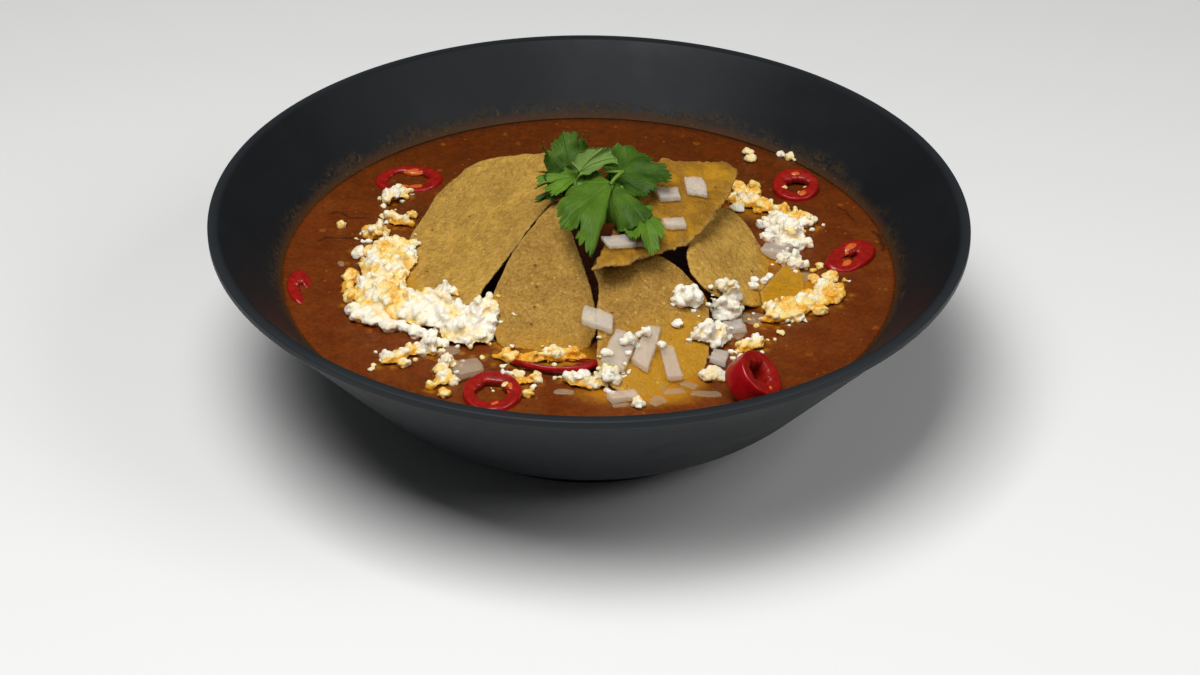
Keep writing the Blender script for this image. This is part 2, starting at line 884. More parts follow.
@dataclass(frozen=True)
class CheeseFinish:
    """Crumbly white cheese, stained by orange oil low down and in its crevices."""

    name: str = "crumbled_cheese"
    white: Colour = (0.905, 0.845, 0.710)
    cream: Colour = (0.900, 0.650, 0.190)
    stain: Colour = (0.800, 0.365, 0.016)

    def build(self, groups: SharedGroups) -> Material:
        """Makes the material.

        Args:
            groups: The shared shader groups.

        Returns:
            The material.
        """
        tree = Paint(self.name, groups)
        patch = tree.mottle(190.0, 3.0)
        fine = tree.mottle(900.0, 2.4)
        stain = tree.mask("stain")
        uneven = tree.plus(stain, tree.times(tree.math("SUBTRACT", patch, 0.5), 0.6))
        uneven = tree.plus(uneven, tree.times(tree.mask("pit"), 0.35))
        colour = tree.blend(tree.span(uneven, 0.22, 0.78), self.white, self.cream)
        colour = tree.blend(tree.span(uneven, 0.62, 1.10), colour, self.stain)
        grain = tree.grain(1500.0)
        normal = tree.bump(fine, 0.07)
        normal = tree.bump(grain, 0.05, normal)
        rough = tree.span(stain, 0.0, 1.0, 0.62, 0.42)
        return tree.done(Base_Color=colour, Roughness=rough, Normal=normal,
                         Subsurface_Weight=0.4, Subsurface_Radius=(1.0, 0.75, 0.5),
                         Subsurface_Scale=0.0015)


@dataclass(frozen=True)
class ChilliFinish:
    """One of the surfaces of a chilli slice."""

    name: str
    deep: Colour
    light: Colour
    patch: float
    roughness: float
    coat: float

    def build(self, groups: SharedGroups) -> Material:
        """Makes the material.

        Args:
            groups: The shared shader groups.

        Returns:
            The material.
        """
        tree = Paint(self.name, groups)
        mottle = tree.mottle(1000 / self.patch, 2.4)
        fine = tree.grain(900.0)
        colour = tree.blend(mottle, self.deep, self.light)
        normal = tree.bump(fine, 0.03)
        return tree.done(Base_Color=colour, Roughness=self.roughness, Normal=normal,
                         Specular_IOR_Level=0.35, Coat_Weight=self.coat, Coat_Roughness=0.12,
                         Subsurface_Weight=0.15,
                         Subsurface_Radius=(1.0, 0.25, 0.12), Subsurface_Scale=0.0010)


CHILLI_SKIN = ChilliFinish(
    "chilli_skin", (0.260, 0.002, 0.004), (0.420, 0.003, 0.007), patch=3.0, roughness=0.28, coat=0.15)
CHILLI_FLESH = ChilliFinish(
    "chilli_flesh", (0.180, 0.003, 0.003), (0.380, 0.012, 0.005), patch=1.6, roughness=0.34, coat=0.1)
CHILLI_PITH = ChilliFinish(
    "chilli_pith", (0.520, 0.060, 0.008), (0.660, 0.160, 0.020), patch=1.2, roughness=0.35, coat=0.2)
CHILLI_SEED = ChilliFinish(
    "chilli_seed", (0.720, 0.480, 0.180), (0.860, 0.640, 0.300), patch=1.0, roughness=0.4, coat=0.1)


@dataclass(frozen=True)
class OnionFinish:
    """Raw onion, moist and slightly see-through."""

    name: str = "chopped_onion"
    flesh: Colour = (0.880, 0.780, 0.660)
    rib: Colour = (0.940, 0.870, 0.780)
    tint: Colour = (0.470, 0.290, 0.090)
    cover: float = 0.36  # how little shows through each of its sides

    def build(self, groups: SharedGroups) -> Material:
        """Makes the material.

        Args:
            groups: The shared shader groups.

        Returns:
            The material.
        """
        tree = Paint(self.name, groups)
        stretched = tree.add("ShaderNodeMapping", {0: tree.place()}, vector_type="POINT")
        stretched.inputs["Scale"].default_value = (1.0, 0.28, 1.0)
        ribs = tree.noise(1.1, 2.0, 0.2, stretched.outputs[0])
        colour = tree.blend(tree.span(ribs, 0.35, 0.65), self.flesh, self.rib)
        colour = tree.tint(colour, self.tint, tree.mask("soaked"), 0.8)
        normal = tree.bump(ribs, 0.035)
        return tree.done(Base_Color=colour, Roughness=0.30, Normal=normal, IOR=1.36,
                         Alpha=self.cover, Subsurface_Weight=1.0,
                         Subsurface_Radius=(1.0, 0.85, 0.65), Subsurface_Scale=0.0020)


@dataclass(frozen=True)
class LeafFinish:
    """Fresh coriander, veined, paler below."""

    name: str = "coriander_leaf"
    dark: Colour = (0.008, 0.034, 0.003)
    light: Colour = (0.130, 0.255, 0.020)
    vein: Colour = (0.190, 0.330, 0.040)
    under: Colour = (0.170, 0.260, 0.070)

    def build(self, groups: SharedGroups) -> Material:
        """Makes the material.

        Args:
            groups: The shared shader groups.

        Returns:
            The material.
        """
        tree = Paint(self.name, groups)
        broad = tree.mottle(110.0, 2.0)
        cells = tree.grain(1300.0)
        share = tree.plus(tree.times(broad, 0.55), tree.mask("fresh"))
        colour = tree.blend(share, self.dark, self.light)
        colour = tree.tint(colour, self.under, tree.mask("under"), 0.8)
        colour = tree.tint(colour, self.vein, tree.mask("vein"), 0.42)
        normal = tree.bump(cells, 0.035)
        return tree.done(Base_Color=colour, Roughness=0.46, Normal=normal,
                         Specular_IOR_Level=0.14, Subsurface_Weight=0.1,
                         Subsurface_Radius=(0.4, 1.0, 0.15), Subsurface_Scale=0.0004)


@dataclass(frozen=True)
class FloorFinish:
    """A plain pale studio floor."""

    name: str = "pale_floor"
    colour: Colour = (0.86, 0.86, 0.85)
    roughness: float = 0.8

    def build(self) -> Material:
        """Makes the material."""
        return Paint(self.name).done(Base_Color=(*self.colour, 1.0), Roughness=self.roughness)


class Finishes:
    """Every material of the dish, built once."""

    def __init__(self) -> None:
        """Builds the shared groups and the materials."""
        groups = SharedGroups()
        self.glaze = GlazeFinish().build(groups)
        self.broth = BrothFinish().build(groups)
        self.chips = {kind: ChipFinish(kind).build(groups) for kind in Chip}
        self.cheese = CheeseFinish().build(groups)
        slices = (CHILLI_SKIN, CHILLI_FLESH, CHILLI_PITH, CHILLI_SEED)
        self.chilli = [finish.build(groups) for finish in slices]
        self.onion = OnionFinish().build(groups)
        self.leaf = LeafFinish().build(groups)


# Camera, light and floor


@dataclass(frozen=True)
class Pixel:
    """A place in the picture, in pixels from its top left."""

    x: float
    y: float


@dataclass
class Studio:
    """The camera at the picture's angle, the soft lights and the floor."""

    place: tuple[float, float, float] = (3.5, -628.0, 427.3)
    pitch: float = 33.24
    roll: float = 0.69
    lens: float = 75.0
    sensor: float = 36.0
    far_clip: float = 20.0  # metres
    sky: float = 0.045  # strength of the light from all round
    sky_colour: Colour = (0.96, 0.98, 1.0)
    floor_side: float = 4000.0

    def axes(self) -> tuple[Vector, Vector, Vector]:
        """Gives the camera's own directions.

        Returns:
            Right, up and forward.
        """
        pitch, roll = math.radians(self.pitch), math.radians(self.roll)
        forward = Vector((0, math.cos(pitch), -math.sin(pitch)))
        right = Vector((1, 0, 0))
        up = right.cross(forward)
        turned = math.cos(roll) * right + math.sin(roll) * up
        return turned, math.cos(roll) * up - math.sin(roll) * right, forward

    def ray(self, pixel: Pixel) -> tuple[Vector, Vector]:
        """Gives the line of sight through a pixel.

        Args:
            pixel: The place in the picture.

        Returns:
            The camera's place and the direction, in millimetres.
        """
        right, up, forward = self.axes()
        focal = self.lens / self.sensor * FRAME_SIZE[0]
        across = (pixel.x - FRAME_SIZE[0] / 2) / focal
        down = (pixel.y - FRAME_SIZE[1] / 2) / focal
        return Vector(self.place), (forward + across * right - down * up).normalized()

    def at_height(self, pixel: Pixel, height: float) -> Vector:
        """Gives the point that a pixel shows at a height above the floor."""
        start, way = self.ray(pixel)
        return start + way * ((height - start.z) / way.z)

    def build(self) -> None:
        """Makes the camera, the lights and the floor."""
        camera = bpy.data.cameras.new("camera")
        camera.lens, camera.sensor_width = self.lens, self.sensor
        camera.clip_end = self.far_clip
        holder = bpy.data.objects.new("camera", camera)
        bpy.context.scene.collection.objects.link(holder)
        right, up, forward = self.axes()
        turn = Matrix((right, up, -forward)).transposed().to_4x4()
        holder.matrix_world = Matrix.Translation(Vector(self.place) * MM) @ turn
        bpy.context.scene.camera = holder
        bpy.context.scene.view_settings.view_transform = "Standard"
        self._light("key_light", (-170.0, -300.0, 1000.0), 560.0, 10.4)
        self._light("side_light", (750.0, -350.0, 750.0), 500.0, 3.2)
        world = bpy.data.worlds.new("studio")
        world.use_nodes = True
        sky = world.node_tree.nodes["Background"]
        sky.inputs[0].default_value = (*self.sky_colour, 1.0)
        sky.inputs[1].default_value = self.sky
        bpy.context.scene.world = world
        half = self.floor_side / 2
        corners = np.array([[-half, -half, 0], [half, -half, 0], [half, half, 0], [-half, half, 0]])
        floor = Shape(corners, np.array([[0, 1, 2, 3]])).piece("floor", [FloorFinish().build()])
        floor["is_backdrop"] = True

    @staticmethod
    def _light(name: str, place: tuple[float, float, float], side: float, power: float) -> None:
        """Adds a square soft light that faces the bowl.

        Args:
            name: The light's name.
            place: Its middle.
            side: Length of its sides.
            power: Its power in watts.
        """
        data = bpy.data.lights.new(name, "AREA")
        data.size, data.energy = side * MM, power
        lamp = bpy.data.objects.new(name, data)
        bpy.context.scene.collection.objects.link(lamp)
        lamp.location = Vector(place) * MM
        aim = Vector((0, 0, SOUP_LEVEL)) - Vector(place)
        lamp.rotation_euler = aim.to_track_quat("-Z", "Y").to_euler()


class Ground:
    """What toppings lie on: the frame's own solids, for finding where things rest."""

    def __init__(self, nodes: dict[str, Item], names: Iterable[str]) -> None:
        """Gathers the solids that things may lie on."""
        whole = gathered(shape_of(nodes[name]) for name in names)
        self.tree = BVHTree.FromPolygons(whole.points.tolist(), whole.faces.tolist())

    def under(self, studio: Studio, pixel: Pixel) -> tuple[Vector, Vector]:
        """Finds what a pixel shows.

        Args:
            studio: The camera.
            pixel: The place in the picture.

        Returns:
            The point and the direction that its face looks.
        """
        start, way = studio.ray(pixel)
        place, normal, _, _ = self.tree.ray_cast(start, way)
        if place is None:
            return studio.at_height(pixel, SOUP_LEVEL), Vector((0, 0, 1))
        return place, normal

    def height(self, x: float, y: float) -> float:
        """Gives the height of the highest face over a point of the plan."""
        place, _, _, _ = self.tree.ray_cast(Vector((x, y, 200)), Vector((0, 0, -1)))
        return place.z if place else SOUP_LEVEL


@dataclass
class Kit:
    """What the pieces of the dish are made with."""

    nodes: dict[str, Item]
    finishes: Finishes
    studio: Studio
    ground: Ground
    bowl: Bowl
    crumbs: CrumbCover


# Bowl


@dataclass
class Bowl:
    """The turned bowl, with the same profile as its solid but smooth."""

    rim_radius: float = 110.0
    rim_width: float = 3.0
    height: float = 62.0
    wall: float = 3.3
    wall_angle: float = 49.5
    bend_radius: float = 45.0
    floor_height: float = 6.0
    foot_radius: float = 52.0
    foot_width: float = 5.0
    foot_recess: float = 2.7
    foot_bevel: float = 0.6
    foot_flat: float = 8.0  # width of the level stretch within the foot
    foot_edge: float = 0.5  # how far the foot's corners are rounded
    foot_round: float = 1.0
    foot_top_radius: float = 56.0
    lip_depth: float = 2.4
    lip_step: float = 0.8
    lip_inset: float = 1.4
    lip_round: float = 0.7
    lip_wear: Profile = ((3.4, 3.5), (1.2, 2.0))  # how far in and down its wear starts, and is full
    turns: int = 288
    arc_steps: int = 22
    round_steps: int = 6

    def bend_centre(self) -> tuple[float, float]:
        """Gives the middle of the bend between wall and floor.

        Returns:
            Its radius and height.
        """
        angle = math.radians(self.wall_angle)
        bend_top = self.floor_height + self.bend_radius * (1 - math.cos(angle))
        run = (self.height - bend_top) / math.tan(angle)
        radius = self.rim_radius - self.rim_width - run - self.bend_radius * math.sin(angle)
        return radius, self.floor_height + self.bend_radius

    def arc(self, radius: float, start: float, end: float, steps: int) -> Profile:
        """Gives points of an arc about the middle of the bend.

        Args:
            radius: The arc's radius.
            start: The wall's lean at its start, in radians.
            end: The lean at its end.
            steps: How many steps it has.

        Returns:
            Radius and height of each point.
        """
        centre = self.bend_centre()
        leans = [start + (end - start) * k / steps for k in range(steps + 1)]
        return [(centre[0] + radius * math.sin(a), centre[1] - radius * math.cos(a)) for a in leans]

    def rounded(self, corners: Profile, radius: float) -> Profile:
        """Rounds each inner corner of a row of points.

        Args:
            corners: The row.
            radius: How far from a corner its rounding starts.

        Returns:
            The finer row, without its two ends.
        """
        points = []
        for before, corner, after in zip(corners, corners[1:], corners[2:]):
            a, b, c = (np.array(p) for p in (before, corner, after))
            start = b + (a - b) * min(0.5, radius / np.linalg.norm(a - b))
            end = b + (c - b) * min(0.5, radius / np.linalg.norm(c - b))
            for k in range(self.round_steps + 1):
                t = k / self.round_steps
                points.append(tuple((1 - t) ** 2 * start + 2 * t * (1 - t) * b + t * t * end))
        return points

    def outside(self) -> Profile:
        """Gives the profile from under the middle, up the outside, to the top of the rim.

        Returns:
            Its points.
        """
        outer = self.bend_radius + self.wall
        angle = math.radians(self.wall_angle)
        lean = math.asin((self.foot_top_radius - self.bend_centre()[0]) / outer)
        arc = self.arc(outer, lean, angle, self.arc_steps)
        foot = self.rounded([
            (self.foot_radius - self.foot_width - self.foot_flat, self.foot_recess),
            (self.foot_radius - self.foot_width - self.foot_bevel, self.foot_recess),
            (self.foot_radius - self.foot_width, 0.0),
            (self.foot_radius, 0.0),
            (self.foot_radius + self.foot_round, self.foot_round),
            arc[0],
            arc[1],
        ], self.foot_edge)
        lip = self.rounded([
            arc[-1],
            (self.rim_radius - self.lip_inset, self.height - self.lip_depth - self.lip_step),
            (self.rim_radius, self.height - self.lip_depth),
            (self.rim_radius, self.height),
            (self.rim_radius - self.rim_width, self.height),
            self.arc(self.bend_radius, angle, 0.0, 1)[0],
        ], self.lip_round)
        return [(0.0, self.foot_recess), *foot, *arc[1:], *lip]

    def inside(self) -> Profile:
        """Gives the profile from the rim down the inner wall to the middle of the floor.

        Returns:
            Its points.
        """
        angle = math.radians(self.wall_angle)
        top = (self.rim_radius - self.rim_width, self.height)
        arc = self.arc(self.bend_radius, angle, 0.0, self.arc_steps)
        straight = [
            (top[0] + (arc[0][0] - top[0]) * t, top[1] + (arc[0][1] - top[1]) * t)
            for t in (0.1, 0.25, 0.5, 0.75)
        ]
        return [*straight, *arc, (0.0, self.floor_height)]

    def build(self, kit: Kit) -> Item:
        """Makes the bowl.

        Args:
            kit: What the dish is made with.

        Returns:
            The piece.
        """
        outside, inside = self.outside(), self.inside()
        shape = turned_shape([*outside, *inside], self.turns)
        radius = np.hypot(shape.points[:, 0], shape.points[:, 1])
        rows = np.zeros(len(shape.points))
        rows[(len(outside) - 1) * self.turns:-2] = 1.0
        rows[-1] = 1.0
        start, full = self.lip_wear
        lip = eased(radius, self.rim_radius - start[0], self.rim_radius - full[0])
        lip *= eased(shape.points[:, 2], self.height - start[1], self.height - full[1])
        shape.masks = {"inside": rows, "lip": lip}
        piece = shape.piece("coupe_bowl", [kit.finishes.glaze])
        return dressed(piece, "bowl", "bowl")


# Soup


@dataclass(frozen=True)
class OilPatch(Pixel):
    """A patch of oil that floats on the soup, about a pixel."""

    reach: float
    depth: float
    strength: float


@dataclass(frozen=True)
class Wrinkle:
    """A dark crease in the skin of the soup."""

    places: tuple[Pixel, ...]
    width: float = 0.6
    depth: float = 0.2


@dataclass
class Broth:
    """The soup, up to its level, with low relief on its surface."""

    gap: float = 0.3
    side_steps: int = 240
    wave: float = 0.10
    wave_size: float = 13.0
    pulp: float = 0.07
    pulp_size: float = 2.6
    lump: float = 0.13
    lump_size: float = 1.7
    calm: float = 5.0  # width of the level stretch along the wall
    creep: float = 0.5  # how far the soup climbs where it meets something
    creep_reach: float = 1.3
    touch: float = 0.03  # how far its edge stays from the wall
    edge_reach: float = 1.5  # width of the stretch that is drawn out to the wall
    shaded: tuple[float, float] = (20.0, 66.0)  # from where to where it darkens, towards the back
    seed: int = 5
    patches: tuple[OilPatch, ...] = (
        OilPatch(790, 292, 15.0, 14.0, 1.1),
        OilPatch(842, 298, 5.0, 7.0, 0.4),
        OilPatch(775, 262, 9.0, 8.0, 0.8),
        OilPatch(640, 392, 20.0, 8.0, 1.1),
        OilPatch(690, 378, 8.0, 8.0, 0.9),
        OilPatch(560, 356, 15.0, 9.0, 0.9),
        OilPatch(745, 212, 12.0, 8.0, 0.7),
        OilPatch(500, 400, 10.0, 4.0, 0.4),
    )

    wrinkles: tuple[Wrinkle, ...] = (
        Wrinkle((Pixel(318, 241), Pixel(327, 236), Pixel(341, 238), Pixel(358, 237))),
        Wrinkle((Pixel(331, 213), Pixel(338, 210), Pixel(350, 217), Pixel(363, 218))),
        Wrinkle((Pixel(872, 232), Pixel(880, 240), Pixel(884, 250))),
        Wrinkle((Pixel(835, 205), Pixel(846, 212), Pixel(852, 220)), 0.4),
        Wrinkle((Pixel(395, 170), Pixel(405, 166), Pixel(418, 166)), 0.4),
    )

    def disc(self, radius: float) -> tuple[Array, Array, Array]:
        """Spreads an even grid over a disc.

        Args:
            radius: The disc's radius.

        Returns:
            The points of the plan, the triangles, and the points of the edge in order.
        """
        count = self.side_steps
        line = np.linspace(-1, 1, count + 1)
        a, b = np.meshgrid(line, line, indexing="xy")
        wide = np.abs(a) > np.abs(b)
        reach = np.where(wide, a, b)
        with np.errstate(divide="ignore", invalid="ignore"):
            turn = np.where(wide, math.pi / 4 * b / a, math.pi / 2 - math.pi / 4 * a / b)
        turn = np.nan_to_num(turn)
        plan = np.stack([reach * np.cos(turn), reach * np.sin(turn)], axis=-1) * radius
        index = np.arange((count + 1) ** 2).reshape(count + 1, count + 1)
        low, right = index[:-1, :-1].ravel(), index[:-1, 1:].ravel()
        up, corner = index[1:, :-1].ravel(), index[1:, 1:].ravel()
        faces = quads(low, right, corner, up)
        edge = np.concatenate([index[0, :-1], index[:-1, -1], index[-1, :0:-1], index[:0:-1, 0]])
        return plan.reshape(-1, 2), faces, edge

    def oil(self, plan: Array, studio: Studio, cheese: Array) -> Array:
        """Says how much oil lies on each point.

        Args:
            plan: Points of the surface.
            studio: The camera, for the patches' places.
            cheese: Points of the cheese near the surface.

        Returns:
            One number from 0 to 1 for each point.
        """
        total = np.zeros(len(plan))
        for patch in self.patches:
            centre = studio.at_height(patch, SOUP_LEVEL)
            far = ((plan[:, 0] - centre.x) / patch.reach) ** 2
            far += ((plan[:, 1] - centre.y) / patch.depth) ** 2
            total = np.maximum(total, patch.strength * np.exp(-far))
        near = nearest_distance(plan, cheese)
        return np.clip(np.maximum(total, 0.75 * np.exp(-near / 2.2)), 0, 1)

    def build(self, kit: Kit) -> Item:
        """Makes the soup.

        Args:
            kit: What the dish is made with.

        Returns:
            The piece.
        """
        bowl, nodes = kit.bowl, kit.nodes
        angle = math.radians(bowl.wall_angle)
        run = (bowl.height - SOUP_LEVEL) / math.tan(angle) + self.gap / math.sin(angle)
        radius = bowl.rim_radius - bowl.rim_width - run
        plan, faces, edge = self.disc(radius)
        flat = np.column_stack([plan, np.zeros(len(plan))])
        solids = {name: shape_of(node).points for name, node in nodes.items()}
        cheese = np.concatenate([p[p[:, 2] < SOUP_LEVEL + 1.2] for n, p in solids.items()
                                 if n.startswith("cheese")])
        chips = np.concatenate([self._waterline(shape_of(nodes[n])) for n in nodes
                                if n.startswith("chip")])
        far = radius - np.hypot(plan[:, 0], plan[:, 1])
        chip_far = nearest_distance(plan, chips)
        height = self.wave * fractal_noise(flat, self.wave_size, self.seed, 3)
        height += self.pulp * fractal_noise(flat, self.pulp_size, self.seed + 9, 2)
        height += self.lump * (curds(flat, self.lump_size, self.seed + 13) - 0.5)
        height *= eased(far, 0.0, self.calm)
        height += self.creep * np.exp(-np.minimum(far, chip_far) / self.creep_reach)
        spread = self.gap / math.sin(angle) + self.creep / math.tan(angle) - self.touch
        outward = 1 + eased(far, self.edge_reach, 0.0) * spread / radius
        points = np.column_stack([plan * outward[:, None], SOUP_LEVEL + height])
        back = eased(plan[:, 1] + 9 * fractal_noise(flat, 22.0, 3, 2), *self.shaded)
        thin = (0.15 + 0.6 * back) * np.exp(-far / 3.0) + 0.4 * np.exp(-chip_far / 1.2)
        for wrinkle in self.wrinkles:
            line = [kit.studio.at_height(pixel, SOUP_LEVEL) for pixel in wrinkle.places]
            near = np.min([segment_distance(plan + 0.5 * smooth_noise(flat, 3.0, 61)[:, None], a, b)
                           for a, b in zip(line, line[1:])], axis=0)
            groove = np.exp(-((near / wrinkle.width) ** 2))
            points[:, 2] -= wrinkle.depth * groove
            thin = np.maximum(thin, 0.95 * groove)
        masks = {"oil": self.oil(plan, kit.studio, cheese), "back": back, "thin": thin}
        lower = bowl.arc(bowl.bend_radius - self.gap, angle, 0.0, 12)
        middle = tuple(0.6 * a + 0.4 * b for a, b in zip((radius, SOUP_LEVEL), lower[0]))
        turn = np.arctan2(plan[edge, 1], plan[edge, 0])
        count, start = len(edge), len(points)
        previous = edge
        extra = []
        for ring_radius, ring_height in [middle, *lower[:-1]]:
            extra.append(np.column_stack([ring_radius * np.cos(turn), ring_radius * np.sin(turn),
                                          np.full(count, ring_height)]))
            ring = start + np.arange(count)
            after, previous_after = np.roll(ring, -1), np.roll(previous, -1)
            faces = np.concatenate([faces, quads(previous, ring, after, previous_after)])
            previous, start = ring, start + count
        extra.append(np.array([[0, 0, bowl.floor_height + self.gap]]))
        faces = np.concatenate([faces, np.stack([previous, np.full(count, start),
                                                 np.roll(previous, -1)], 1)])
        points = np.concatenate([points, *extra])
        for name, mask in masks.items():
            masks[name] = np.concatenate([mask, np.zeros(len(points) - len(mask))])
        piece = Shape(points, faces, masks).piece("chilli_soup", [kit.finishes.broth])
        return dressed(piece, "soup", "broth")

    @staticmethod
    def _waterline(chip: Shape) -> Array:
        """Finds where a chip comes out of the soup.

        Args:
            chip: The chip's solid.

        Returns:
            Points of the plan along the level.
        """
        places = []
        for k in range(3):
            a, b = chip.points[chip.faces[:, k]], chip.points[chip.faces[:, (k + 1) % 3]]
            crosses = (a[:, 2] - SOUP_LEVEL) * (b[:, 2] - SOUP_LEVEL) < 0
            a, b = a[crosses], b[crosses]
            share = ((SOUP_LEVEL - a[:, 2]) / (b[:, 2] - a[:, 2]))[:, None]
            places.append((a + (b - a) * share)[:, :2])
        found = np.concatenate(places)
        return found if len(found) else np.array([[FAR_OFF, FAR_OFF]])


def segment_distance(plan: Array, start: Vector, end: Vector) -> Array:
    """Gives each point's distance to a straight stretch.

    Args:
        plan: Points of the plan.
        start: One end of the stretch.
        end: The other end.

    Returns:
        One distance for each point.
    """
    first, way = np.array(start)[:2], np.array(end - start)[:2]
    share = np.clip(((plan - first) @ way) / (way @ way), 0, 1)
    return np.linalg.norm(plan - first - share[:, None] * way, axis=1)


def nearest_distance(plan: Array, targets: Array) -> Array:
    """Gives each point's distance to the nearest target.

    Args:
        plan: Points of the plan.
        targets: Other points of the plan.

    Returns:
        One distance for each point.
    """
    tree = KDTree(len(targets))
    for k, place in enumerate(targets):
        tree.insert(Vector((place[0], place[1], 0)), k)
    tree.balance()
    return np.array([tree.find(Vector((x, y, 0)))[2] for x, y in plan])


# Corn chips


@dataclass(frozen=True)
class EdgePull:
    """Moves a stretch of a chip's edge out, or in where amount is below 0."""

    x: float
    y: float
    amount: float
    reach: float


